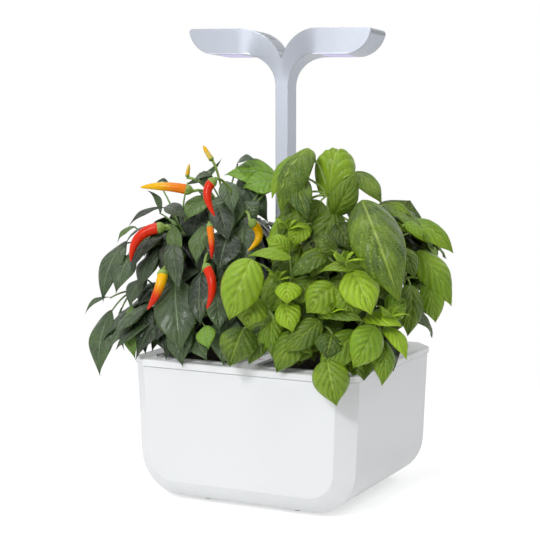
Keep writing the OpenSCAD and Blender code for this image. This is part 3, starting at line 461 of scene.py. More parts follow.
def lamp_reform(place):
    """Moves points of the lamp from a depth that depends on the height alone to one that grows
    round the bend, makes the rims narrower and the windows rounder, and lets the wings lean.
    The half depth at the angle a round the bend's centre is MAST_HALF + (WING_HALF - MAST_HALF)
    t ** BEND_POWER, with t from 0 to 1 between a = BEND_FROM and 90 degrees."""
    x, y, z = place.T
    u, v = (np.abs(x) - OLD_WINDOW[0]) / OLD_WINDOW[1], (y - MAST_Y) / OLD_WINDOW[2]
    window = ((z < WING_LOW + WINDOW_TALL) & (z > WING_LOW - 0.1)
              & (np.abs(u) < 1.01) & (np.abs(v) < 1.2))
    grow = WING_HALF - MAST_HALF
    t = np.clip((z - WING_LOW + OLD_FLARE_BELOW) / OLD_FLARE_RISE, 0, 1)
    old = MAST_HALF + grow * (1 - np.sqrt(1 - t ** OLD_FLARE_POWER))
    angle = np.degrees(np.arctan2(z - BEND_Z, BEND_X - np.abs(x)))
    angle = np.where(z < BEND_Z, 0, angle)
    t = np.clip((angle - BEND_FROM) / (90 - BEND_FROM), 0, 1)
    half = MAST_HALF + grow * t ** BEND_POWER
    across = np.abs(y - MAST_Y)
    rim = np.where(z > WING_LOW - OLD_FLARE_BELOW, RIM, OLD_RIM)
    inner = across * (half - rim) / (old - OLD_RIM)
    outer = half - (old - across) * rim / OLD_RIM
    y = MAST_Y + np.sign(y - MAST_Y) * np.where(across < old - OLD_RIM, inner, outer)
    x = np.where(window, np.sign(x) * (WINDOW[0] + WINDOW[1] * u), x)
    y = np.where(window, MAST_Y + WINDOW[2] * v, y)
    share = np.clip((z - LEAN_FROM) / LEAN_RISE, 0, 1)
    z = z - (y - MAST_Y) * math.tan(math.radians(WING_LEAN)) * smooth_step(share)
    return np.stack([x, y, z], -1)


def corner_values(items, key, width, count, kind=np.float32):
    """One property of a mesh's items as an array, width values for each of count items."""
    values = np.empty(count * width, kind)
    items.foreach_get(key, values)
    return values.reshape(count, width) if width > 1 else values


def round_bends(piece):
    """Gives the lamp's front and back faces the normals of their form's formula, faded out
    where the bend ends in the wings."""
    fade_end, fade_over = 1.15, 0.4
    near_centre, below_bend = 8, 40           # no such faces nearer or lower than these
    mesh = piece.data
    corner_vertex = corner_values(mesh.loops, "vertex_index", 1, len(mesh.loops), np.int32)
    place = corner_values(mesh.vertices, "co", 3, len(mesh.vertices))[corner_vertex] / MM
    faces = corner_values(mesh.polygons, "normal", 3, len(mesh.polygons))
    sizes = corner_values(mesh.polygons, "loop_total", 1, len(mesh.polygons), np.int32)
    facing = np.repeat(faces, sizes, axis=0)
    side = np.sign(place[:, 0])
    dx, dz = np.abs(place[:, 0]) - BEND_X, place[:, 2] - BEND_Z
    radius = np.hypot(dx, dz)
    angle = np.degrees(np.arctan2(dz, -dx))
    t = (angle - BEND_FROM) / (90 - BEND_FROM)
    fade = np.clip((fade_end - t) / fade_over, 0, 1)
    slope = (WING_HALF - MAST_HALF) * BEND_POWER * np.clip(t, 0, 1) ** (BEND_POWER - 1)
    slope = slope / math.radians(90 - BEND_FROM) / np.maximum(radius, 5)
    slope = slope * smooth_step(fade)
    a = np.radians(angle)
    normal = np.stack([-side * slope * np.sin(a), np.sign(facing[:, 1]), -slope * np.cos(a)], -1)
    shown = ((np.abs(facing[:, 1]) > 0.9) & (radius > near_centre)
             & (place[:, 2] > BEND_Z - below_bend))
    normal = np.where(shown[:, None], unit(normal), 0)
    mesh.normals_split_custom_set(normal.tolist())


def dress_housings():
    """Gives every CAD node that stays its finish, and the housings their smooth forms."""
    white = moulded_plastic("tank_white", "EFF1F3", 0.3)
    lid_white = moulded_plastic("lid_white", "F1F3F4", 0.22, edge=0.0007)
    tray_white = moulded_plastic("tray_white", "E4E6E4", 0.5)
    silver = satin_metal("lamp_silver", "B0B5BF", 0.33, edge=0.0008)
    cover_grey = moulded_plastic("lamp_cover_grey", "A9AEB5", 0.45, edge=0.0004)
    window = milky_window("light_window")
    board = circuit_board("led_board", "E6E6E0")
    spreader = bare_metal("heat_spreader", "A6ABB0", 0.4)
    finishes = {
        "filler_plug": lid_white, "gauge_guide": tray_white,
        "feet": rubber("foot_rubber", "3A3B3E"), "mast_grip_pads": rubber("grip_rubber", "2F3033"),
        "lid_seal": rubber("seal_rubber", "DADDDD"),
        "water_float": moulded_plastic("float_foam", "F2F3F0", 0.6, grain=0.0001),
        "gauge_stem": moulded_plastic("gauge_red", "C8372C", 0.3),
        "mast_back_cover": silver,
        "led_board_left": board, "led_board_right": board, "led_lenses": clear_dome("led_dome"),
        "heat_spreader_left": spreader, "heat_spreader_right": spreader,
        "driver_board": circuit_board("driver_green", "2F6B46"),
        "power_inlet": moulded_plastic("inlet_black", "202124", 0.4),
        "lamp_wires": moulded_plastic("wire_red", "C33B32", 0.45),
        "lamp_screws": bare_metal("screw_steel", "B9BCC0", 0.3),
        "power_button": moulded_plastic("button_silver", "D3D7DC", 0.35),
    }
    for side in ("left", "right"):
        finishes[f"cartridge_{side}_tray"] = tray_white
        finishes[f"cartridge_{side}_rim"] = lid_white
        finishes[f"cartridge_{side}_wick"] = felt(f"wick_felt_{side}", "F0EEE0")
    for node, material in finishes.items():
        data = nodes[node].data
        data.materials.clear()
        data.materials.append(material)
    smooth_copy("tank_shell", "base", white)
    smooth_copy("lid", "lid", lid_white)
    ends = [(side, *END_SLAB) for side in (-1, 1)]
    round_bends(smooth_copy("lamp_housing", "lamp", silver, ends, lamp_reform))
    for side, name in ((-1, "left"), (1, "right")):
        smooth_copy(f"lamp_top_{name}", "lamp", cover_grey, [(side, *LIP_SLAB)],
                    lamp_reform)
        smooth_copy(f"light_window_{name}", "lamp", window, reform=lamp_reform)


# ---- Meshes from arrays --------------------------------------------------------------


def mesh_object(name, points, quads, triangles, material, body, stands_for=(),
                uv=None, values=None):
    """A smooth piece from arrays: points (n, 3), quads (m, 4), triangles (k, 3), and named UV
    pairs and single values for each point."""
    mesh = bpy.data.meshes.new(name)
    mesh.vertices.add(len(points))
    mesh.vertices.foreach_set("co", np.asarray(points, np.float32).ravel())
    corners = np.concatenate([np.asarray(f, np.int32).ravel() for f in (quads, triangles)])
    counts = np.repeat([4, 3], [len(quads), len(triangles)]).astype(np.int32)
    starts = np.concatenate([[0], np.cumsum(counts)[:-1]]).astype(np.int32)
    mesh.loops.add(len(corners))
    mesh.loops.foreach_set("vertex_index", corners)
    mesh.polygons.add(len(counts))
    mesh.polygons.foreach_set("loop_start", starts)
    mesh.polygons.foreach_set("loop_total", counts)
    mesh.update(calc_edges=True)
    mesh.validate()
    mesh.polygons.foreach_set("use_smooth", np.ones(len(mesh.polygons), bool))
    for layer_name, pairs in (uv or {}).items():
        layer = mesh.uv_layers.new(name=layer_name)
        layer.data.foreach_set("uv", np.asarray(pairs, np.float32)[corners].ravel())
    for value_name, column in (values or {}).items():
        attribute = mesh.attributes.new(value_name, "FLOAT", "POINT")
        attribute.data.foreach_set("value", np.asarray(column, np.float32))
    mesh.materials.append(material)
    piece = bpy.data.objects.new(name, mesh)
    bpy.context.scene.collection.objects.link(piece)
    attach(piece, body)
    if stands_for:
        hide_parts(*stands_for)
    return piece


def ring_faces(count, rings, around):
    """Faces of count closed tubes at once. Each tube's points are rings of around points, then
    one pole below the first ring and one above the last."""
    size = rings * around + 2
    i = np.arange(rings - 1)[:, None] * around
    j = np.arange(around)[None, :]
    after = (j + 1) % around
    quads = np.stack([i + j, i + after, i + around + after, i + around + j], -1).reshape(-1, 4)
    last = (rings - 1) * around
    flat = np.arange(around)
    turn = (flat + 1) % around
    low = np.stack([np.full(around, rings * around), turn, flat], -1)
    high = np.stack([np.full(around, rings * around + 1), last + flat, last + turn], -1)
    shift = (np.arange(count) * size)[:, None, None]
    return ((quads[None] + shift).reshape(-1, 4),
            (np.concatenate([low, high])[None] + shift).reshape(-1, 3))


def unit(v):
    return v / np.maximum(np.linalg.norm(v, axis=-1, keepdims=True), 1e-9)


def shifted(faces, points):
    """Several parts' faces as one, each part's point numbers moved past those before it."""
    starts = np.cumsum([0] + [len(p) for p in points[:-1]])
    return np.concatenate([f + start for f, start in zip(faces, starts)])


def tubes(paths, radii, around):
    """Round tubes along paths (count, rings, 3) with a radius for each ring (count, rings).
    A ring is centre + radius * (cos a * u + sin a * v), with u and v across the path."""
    step = np.gradient(paths, axis=1)
    along = unit(step)
    reference = np.array([0.31, 0.93, 0.17])
    u = unit(reference - along * (along @ reference)[..., None])
    v = np.cross(along, u)
    angle = np.arange(around) * 2 * np.pi / around
    rings = (paths[:, :, None] + radii[:, :, None, None]
             * (np.cos(angle)[:, None] * u[:, :, None] + np.sin(angle)[:, None] * v[:, :, None]))
    count, ring_count = paths.shape[:2]
    first = paths[:, :1] - along[:, :1] * radii[:, :1, None] * 0.5
    final = paths[:, -1:] + along[:, -1:] * radii[:, -1:, None] * 0.5
    points = np.concatenate([rings.reshape(count, -1, 3), first, final], axis=1)
    quads, triangles = ring_faces(count, ring_count, around)
    run = np.linspace(0, 1, ring_count)
    run = np.concatenate([np.repeat(run, around), [0, 1]])
    turn = np.concatenate([np.tile(np.arange(around) / around, ring_count), [0, 0]])
    pairs = np.tile(np.stack([run, turn], -1), (count, 1))
    return points.reshape(-1, 3), quads, triangles, pairs


def bends(start, middle, end, rings):
    """Points on bends that start at start, pass through middle half way and stop at end."""
    t = np.linspace(0, 1, rings)[None, :, None]
    lift = 2 * middle - (start + end) / 2
    return (1 - t) ** 2 * start[:, None] + 2 * t * (1 - t) * lift[:, None] + t ** 2 * end[:, None]


# ---- Leaves --------------------------------------------------------------------------
# A leaf is [base, tip, width, azimuth and elevation of the way its face looks, bow, cup], in
# millimetres and degrees. The bow lifts the middle of the midrib towards that face, and a
# negative cup curls the margins away from it.

CHILLI_LEAVES = [
    (-72, -62, 214, -50, -88, 173, 16, -75, 15, 6, -0.2),
    (-65, -70, 183, -45, -96, 125, 34, -70, 10, 8, -0.15),
    (-43, -66, 189, -32, -88, 147, 19, -80, 10, 5, -0.2),
    (-27, -70, 172, -16, -86, 144, 17, -60, 15, 4, -0.2),
    (-26, -50, 220, -24, -72, 190, 27, -70, 25, 5, -0.1),
    (-42, -40, 241, -20, -62, 212, 19, -60, 25, 5, -0.2),
    (-41, -26, 259, -22, -50, 234, 16, -60, 30, 5, -0.2),
    (-46, 6, 259, -13, -4, 223, 20, -75, 40, 8, -0.15),
    (-25, -24, 243, -13, -26, 227, 16, -70, 30, 4, -0.1),
    (-129, -40, 207, -139, -62, 156, 21, -95, 20, 10, -0.3),
    (-120, -44, 197, -124, -66, 165, 19, -85, 15, 6, -0.2),
    (-133, -58, 161, -148, -76, 148, 7, -100, 60, 6, -0.2),
    (-135, -56, 150, -138, -70, 95, 23, -95, 15, 8, -0.25),
    (-130, -48, 151, -121, -58, 116, 6, -90, 20, 5, -0.2),
    (-113, -60, 155, -97, -80, 114, 18, -90, 15, 6, -0.2),
    (-104, -52, 179, -107, -72, 156, 18, -100, 20, 5, -0.2),
    (-88, -10, 254, -64, 10, 276, 7, -90, 30, -8, 0.2),
    (-105, -24, 229, -115, -30, 249, 8, -120, 20, -7, 0.2),
    (-122, 0, 254, -114, 8, 252, 5, -90, 50, 3, 0),
    (-55, -30, 246, -64, -58, 226, 17, -80, 35, 5, -0.1),
    (-94, -34, 237, -59, -58, 230, 12, -80, 35, 4, -0.1),
    (-50, -50, 224, -43, -74, 194, 16, -80, 15, 6, -0.3),
    (-76, -54, 223, -58, -72, 195, 13, -80, 15, 5, -0.2),
    (-98, -26, 235, -121, -50, 220, 9, -100, 60, 6, -0.2),
    (-122, -36, 219, -133, -48, 206, 8, -110, 50, 4, -0.2),
    (-104, -48, 216, -100, -64, 197, 12, -90, 20, 4, -0.2),
    (-30, -84, 148, -20, -96, 131, 16, -75, 15, 4, -0.3),
    (-47, -72, 140, -26, -88, 120, 16, -70, 15, 4, -0.2),
    (-48, 6, 271, -24, -4, 275, 9, -90, 50, 5, -0.2),
    (-75, -18, 259, -51, -30, 263, 8, -80, 45, 3, 0),
    (-57, -20, 254, -69, -22, 265, 10, -80, 30, 4, 0),
    (-96, -62, 156, -86, -82, 119, 18, -85, 12, 6, -0.2),
    (-85, -60, 148, -68, -80, 122, 17, -80, 10, 5, -0.2),
    (-79, -40, 211, -91, -62, 197, 13, -90, 30, 5, -0.2),
    (-61, -40, 204, -32, -62, 179, 16, -70, 20, 5, -0.2),
    (-29, -34, 213, -14, -46, 195, 14, -60, 20, 5, -0.2),
    (-15, 14, 262, -57, 0, 262, 25, -80, 45, 6, -0.2),
    (-8, 10, 256, -36, -8, 252, 24, -80, 40, 6, -0.2),
    (-24, -36, 222, -13, -56, 180, 28, -70, 20, 6, -0.2),
    (-28, -48, 186, -15, -68, 144, 28, -70, 20, 6, -0.2),
    (-22, -60, 154, -15, -82, 116, 26, -70, 15, 5, -0.2),
    (-58, -74, 152, -46, -92, 114, 22, -80, 12, 6, -0.2),
    (-36, -25, 250, -37, -42, 214, 30, -80, 20, 6, -0.2),
    (-62, -25, 243, -65, -42, 206, 30, -90, 20, 6, -0.2),
    (-38, -35, 211, -36, -55, 171, 30, -80, 15, 6, -0.2),
    (-75, -35, 201, -77, -55, 162, 28, -90, 15, 6, -0.2),
    (-20, -35, 225, -13, -55, 182, 28, -75, 15, 6, -0.2),
]

BASIL_LEAVES = [
    (22, -104, 206, 8, -116, 159, 42, -72, 12, 12, -0.45),
    (18, -92, 176, 17, -104, 152, 27, -70, 5, 6, -0.3),
    (12, -98, 152, 8, -115, 123, 30, -70, 10, 8, -0.35),
    (23, -84, 151, 15, -96, 122, 19, -70, 10, 6, -0.3),
    (46, -88, 188, 49, -98, 172, 22, -75, 20, 6, -0.35),
    (41, -86, 172, 55, -100, 151, 22, -70, 12, 6, -0.35),
    (71, -84, 159, 48, -100, 135, 20, -60, 25, 5, -0.25),
    (81, -78, 186, 64, -96, 166, 33, -70, 30, 8, -0.4),
    (69, -70, 209, 46, -88, 191, 18, -75, 50, 6, -0.25),
    (91, -74, 198, 118, -96, 168, 33, -60, 25, 9, -0.4),
    (102, -66, 200, 66, -80, 195, 14, -75, 60, 7, -0.25),
    (67, -80, 166, 109, -90, 162, 18, -60, 50, 6, -0.25),
    (115, -80, 157, 104, -98, 127, 28, -55, 20, 8, -0.35),
    (81, -84, 150, 82, -98, 133, 26, -70, 15, 6, -0.35),
    (82, -96, 132, 95, -108, 99, 30, -70, 12, 8, -0.4),
    (115, -66, 145, 121, -82, 112, 20, -50, 8, 8, -0.4),
    (115, -62, 154, 138, -74, 132, 15, -40, 30, 8, -0.3),
    (100, -68, 162, 136, -78, 158, 16, -60, 45, 6, -0.3),
    (115, -60, 165, 131, -56, 175, 21, -60, 25, 6, -0.3),
    (90, -50, 250, 136, -84, 176, 52, -72, 24, 18, -0.45),
    (50, -24, 250, 47, 16, 268, 44, -75, 50, 30, -0.5),
    (32, -18, 283, 10, -46, 248, 33, -115, 30, 12, -0.4),
    (22, -34, 268, 47, -56, 233, 22, -70, 25, 8, -0.3),
    (60, -34, 235, 81, -40, 270, 24, -60, 20, 8, -0.4),
    (68, -20, 269, 101, -36, 246, 21, -50, 35, 10, -0.4),
    (86, -4, 242, 112, 0, 234, 11, -70, 60, 6, -0.2),
    (106, 6, 229, 144, 10, 205, 22, -50, 40, 10, -0.25),
    (118, -4, 207, 147, -1, 164, 26, -50, 25, 10, -0.3),
    (130, -10, 184, 136, -8, 151, 19, -60, 15, 8, -0.3),
    (122, -26, 183, 125, -40, 144, 22, -55, 12, 8, -0.35),
    (113, -16, 231, 130, -22, 217, 11, -60, 40, 5, -0.3),
    (104, -44, 232, 80, -56, 214, 18, -70, 40, 6, -0.2),
    (76, -66, 211, 60, -72, 222, 16, -70, 40, 5, -0.2),
    (39, -72, 209, 22, -80, 220, 20, -75, 35, 6, -0.35),
    (46, -84, 206, 14, -96, 207, 13, -75, 60, 6, -0.2),
    (64, -40, 230, 83, -52, 210, 21, -70, 30, 5, -0.2),
    (42, -50, 230, 35, -62, 212, 18, -75, 30, 5, -0.2),
    (28, -80, 161, 33, -92, 130, 18, -75, 12, 6, -0.3),
    (117, -40, 213, 134, -48, 191, 18, -55, 30, 6, -0.3),
    (48, -76, 147, 65, -88, 133, 22, -70, 15, 6, -0.3),
    (34, -30, 246, 18, -45, 210, 30, -75, 25, 6, -0.3),
    (36, -42, 212, 19, -58, 174, 30, -70, 20, 6, -0.3),
    (40, -54, 180, 34, -74, 140, 30, -75, 15, 6, -0.3),
    (60, -34, 240, 50, -48, 200, 28, -70, 20, 6, -0.3),
    (52, -84, 150, 40, -98, 118, 24, -75, 12, 6, -0.3),
    (98, -78, 152, 76, -98, 120, 24, -70, 15, 6, -0.3),
    (47, -30, 215, 51, -50, 179, 30, -75, 20, 6, -0.3),
    (72, -40, 169, 77, -60, 137, 30, -75, 15, 6, -0.3),
]

# Branch points of each plant and the twigs between them: [from, to, radius from, radius to]
ROOT_Z = 108.6
CHILLI_HUBS = [(-48, 2, 150), (-50, -4, 190), (-52, -6, 228), (-84, -26, 215), (-106, -36, 200),
               (-66, -48, 195), (-96, -44, 165), (-120, -44, 165), (-40, -56, 200), (-28, -22, 228),
               (-70, 44, 190), (-50, -66, 150), (-84, 10, 170)]
CHILLI_TWIGS = [((-46, 4, ROOT_Z), 0, 4, 3.4), (0, 1, 3.4, 2.8), (1, 2, 2.8, 2), (1, 3, 2.4, 1.8),
                (3, 4, 1.8, 1.3), (1, 5, 2.2, 1.6), (0, 6, 2.4, 1.8), (6, 7, 1.8, 1.3),
                (1, 8, 2, 1.4), (2, 9, 1.8, 1.3), (0, 10, 2.4, 1.6), (0, 11, 2.2, 1.6),
                (0, 12, 2.2, 1.6)]
BASIL_HUBS = [(46, -10, 150), (58, -40, 180), (82, -50, 176), (50, -20, 215), (50, -22, 250),
              (76, -26, 226), (98, -20, 205), (66, 30, 200), (100, -52, 162), (34, -60, 171),
              (62, -66, 150), (110, -10, 185), (34, -80, 150)]
BASIL_TWIGS = [((44, -6, ROOT_Z), 0, 3.2, 2.8), (0, 1, 2.6, 2.2), (1, 2, 2.2, 1.6), (0, 3, 2.8, 2.4),
               (3, 4, 2.4, 2), (3, 5, 2, 1.6), ((60, 20, ROOT_Z), 6, 2.6, 1.6),
               ((50, 40, ROOT_Z), 7, 2.6, 1.8), (2, 8, 1.6, 1.3), (0, 9, 2, 1.4),
               ((54, -40, ROOT_Z), 10, 2.4, 1.8), (6, 11, 1.6, 1.3), (10, 12, 1.6, 1.3)]

# More leaves of the basil, beside its tallest shoot and before the mast
BASIL_SPRAY = [
    (36, -32, 288, 20, -50, 236, 34, -110, 20, 12, -0.5),
    (18, -24, 238, 8, -42, 196, 22, -80, 20, 6, -0.3),
    (16, -36, 192, 7, -52, 150, 22, -80, 20, 6, -0.3),
    (30, -30, 252, 22, -42, 216, 26, -95, 20, 6, -0.3),
    (44, -26, 246, 34, -44, 214, 26, -60, 20, 6, -0.3),
    (54, -36, 226, 44, -56, 200, 26, -70, 30, 7, -0.35),
    (40, -60, 206, 24, -74, 190, 22, -80, 30, 6, -0.35),
    (58, -58, 212, 60, -76, 190, 26, -70, 25, 7, -0.35),
    (38, -66, 184, 26, -82, 162, 24, -75, 20, 6, -0.35),
    (60, -70, 190, 50, -86, 170, 26, -75, 20, 7, -0.35),
    (88, -70, 186, 96, -88, 160, 28, -60, 20, 8, -0.35),
]

# Leaves brighter than their plant's others, by their places in the tables
CHILLI_YOUNG = {36: 1.0, 37: 1.0, 26: 0.9, 14: 0.55, 19: 0.45, 22: 0.4, 21: 0.3, 24: 0.3, 33: 0.3}
BASIL_YOUNG = {0: 0.45, 1: 0.3, 7: 0.4, 14: 0.3, 20: 0.35, 4: 0.8, 5: 0.6, 9: 0.8, 10: 0.7,
               16: 0.8, 17: 0.8, 25: 0.4, 33: 0.5, 34: 0.4, 36: 0.8}

# Growing tips of the basil: place, and reach of their small leaves
BASIL_TIPS = [((90, -86, 205), 17), ((81, -91, 167), 15), ((125, -80, 165), 15), ((34, -86, 188), 14),
              ((30, -60, 225), 16), ((64, -34, 246), 14), ((112, -12, 222), 14)]

# How a species' blades are shaped: lengths in millimetres, the rest as shares
CHILLI_BLADE = {"waist": 0.85, "round": 0.85, "point": 0.75, "veins": 6.5, "sweep": 0.34,
                "quilt": 1.0, "groove": 1.0, "fold": 0.1, "wave": 0.09, "waves": 1.6,
                "thick": 0.4, "twist": 16}
BASIL_BLADE = {"waist": 0.76, "round": 0.62, "point": 0.5, "veins": 5.5, "sweep": 0.6,
               "quilt": 2.6, "groove": 2.2, "fold": 0.0, "wave": 0.09, "waves": 1.3,
               "thick": 0.5, "twist": 8}
# Ellipsoids that each plant fills, and smaller ones that are filled further: centre and radii
CHILLI_FORM = (-68, -2, 172), (62, 94, 92)
CHILLI_TOP = (-84, -26, 220), (38, 36, 40)
BASIL_FORM = (70, -2, 176), (60, 96, 96)
BASIL_INNER = (30, -46, 176), (28, 36, 74)
# Corners that the bases and tips of the filling leaves stay between
CHILLI_ROOM = (-136, -94, 114), (-3, 112, 268)
BASIL_ROOM = (4, -98, 113), (132, 112, 274)
WIDTH, BOW, CUP = 6, 9, 10    # places in a row of a leaf table
CHILLI_WIDER = 1.12           # times the widths in the table
BASIL_SMALL, BASIL_WIDER = 36, 1.16    # leaves narrower than this are widened
BASIL_CURL = 0.14             # curls the margins further than the table does
CROWN_X = 70                  # middle of each plant's crown, across
OUTWARD, INWARD = 56, 44      # radii of a crown away from the mast and towards it
BEFORE_MAST = 14              # how much further towards the other plant it reaches in front
GOLDEN = 137.5                # degrees
GOLDEN_SHARE = 0.618034
CROWN_SHADE = 0.6             # how far painted shade, by the depth in a plant, darkens its larger leaves


def back_leaves(side, count, width, reach, top):
    """Leaves over the back half of a plant: golden-angle steps round half a dome, as rows."""
    lift, drop, facing_up, bow, cup = 6, 10, 30, 6, -0.25
    i = np.arange(count)
    el = np.arcsin(0.08 + 0.86 * (i + 0.5) / count)
    az_deg = (GOLDEN * i) % 180
    az = np.radians(az_deg)
    across = np.where(np.cos(az) * side > 0, OUTWARD, INWARD)
    d = np.stack([np.cos(el) * np.cos(az) * across, np.cos(el) * np.sin(az) * reach,
                  np.sin(el) * top], -1)
    centre = np.array([side * CROWN_X, 8, 150])
    blade = width * (0.8 + 0.1 * ((7 * i) % 5))
    return np.column_stack([centre + 0.6 * d + [0, 0, lift], centre + d - [0, 0, drop], blade, az_deg,
                            facing_up + np.degrees(el) / 2, np.full(count, bow), np.full(count, cup)])


def inner_leaves(side, count, width, low, high, reach, drop):
    """Leaves within a plant: golden-angle steps round a dome, from the share low of its radii to
    high, hanging at their tips. In front of the mast they reach towards the other plant."""
    lift, top, facing_up, bow, cup = 8, 92, 22, 7, -0.22
    i = np.arange(count)
    el = np.arcsin(-0.3 + 1.15 * (i + 0.5) / count)
    az_deg = (GOLDEN * i + 40) % 360
    az = np.radians(az_deg)
    inward = np.where(np.sin(az) < -0.5, INWARD + BEFORE_MAST, INWARD)
    across = np.where(np.cos(az) * side > 0, OUTWARD, inward)
    ahead = np.where(np.sin(az) > 0, reach, 0.94 * reach)
    d = np.stack([np.cos(el) * np.cos(az) * across, np.cos(el) * np.sin(az) * ahead,
                  np.sin(el) * top], -1)
    centre = np.array([side * CROWN_X, 0, 162])
    blade = width * (0.8 + 0.1 * ((7 * i) % 5))
    return np.column_stack([centre + low * d + [0, 0, lift], centre + high * d - [0, 0, drop], blade,
                            az_deg + 5 * (i * 5 % 7 - 3), facing_up + np.degrees(el) / 2,
                            np.full(count, bow), np.full(count, cup)])


def thicket(centre, radii, count, width, length, seed):
    """Small leaves that fill an ellipsoid: the base of leaf i lies the golden angle further
    round, at a height that steps through the ellipsoid, and between 0.3 and 0.9 of the way out.
    They face outwards and hang down."""
    bow, cup = 5, -0.28
    draw = np.random.default_rng(seed)
    i = np.arange(count)
    up = -0.85 + 1.75 * ((i * GOLDEN_SHARE) % 1)
    level = np.sqrt(np.clip(1 - up ** 2, 0, 1))
    az_deg = GOLDEN * i + draw.uniform(-20, 20, count)
    az = np.radians(az_deg)
    share = draw.uniform(0.3, 0.9, count)
    out = np.stack([np.cos(az) * level, np.sin(az) * level, up], -1)
    base = np.array(centre) + out * np.array(radii) * share[:, None]
    size = draw.uniform(0.75, 1.25, count)
    fall = draw.uniform(0.35, 0.95, count)
    way = unit(np.stack([np.cos(az), np.sin(az), -fall * 1.5], -1))
    tip = base + way * (length * size)[:, None]
    return np.column_stack([base, tip, width * size, az_deg, draw.uniform(15, 55, count),
                            np.full(count, bow), np.full(count, cup)])


ROSETTE_LEAVES = 7


def rosettes(tips):
    """Small leaves at golden-angle steps round each growing tip, the later ones smaller and more
    upright."""
    apart, slender, bow, cup = 1.5, 0.5, 2.5, -0.4
    rows = []
    for centre, reach in tips:
        for i in range(ROSETTE_LEAVES):
            az, el = math.radians(GOLDEN * i), math.radians(8 + 9 * i)
            size = reach * (1.1 - 0.09 * i)
            way = np.array([math.cos(az) * math.cos(el), math.sin(az) * math.cos(el), math.sin(el)])
            base = np.array(centre) + way * apart
            rows.append([*base, *(base + way * size), size * slender, math.degrees(az), 80 - 4 * i,
                         bow, cup])
    return np.array(rows, float)


def depth_shade(rows, centre, radii):
    """How deep each leaf lies in the ellipsoid: 0 near its surface and up to 1 inside, which darkens
    the leaf as painted shade.
    """
    surface, depth = 1.02, 0.38
    middle = (rows[:, 0:3] + rows[:, 3:6]) / 2
    out = np.linalg.norm((middle - centre) / np.array(radii), axis=1)
    return np.clip((surface - out) / depth, 0, 1)


def within(rows, low, high):
    """The rows whose bases and tips all lie between two corners."""
    inside = np.all((rows[:, 0:3] > low) & (rows[:, 0:3] < high)
                    & (rows[:, 3:6] > low) & (rows[:, 3:6] < high), axis=1)
    return rows[inside]


CROWDING = 0.06               # how far the rings are drawn towards both ends
LEAST_CURL = 0.05
WAVE_OFFSET = 1.1             # radians between the waves of the two margins
VEIN_BEND = 0.3
FULL_WIDTH, MOST_SWELL = 30, 1.3    # relief grows with the width: once at 30 mm, at most 1.3 times
PUFF_LEVEL = 0.6              # quilting rises above and falls below this level
GROOVE_WIDTH = 1.3            # millimetres


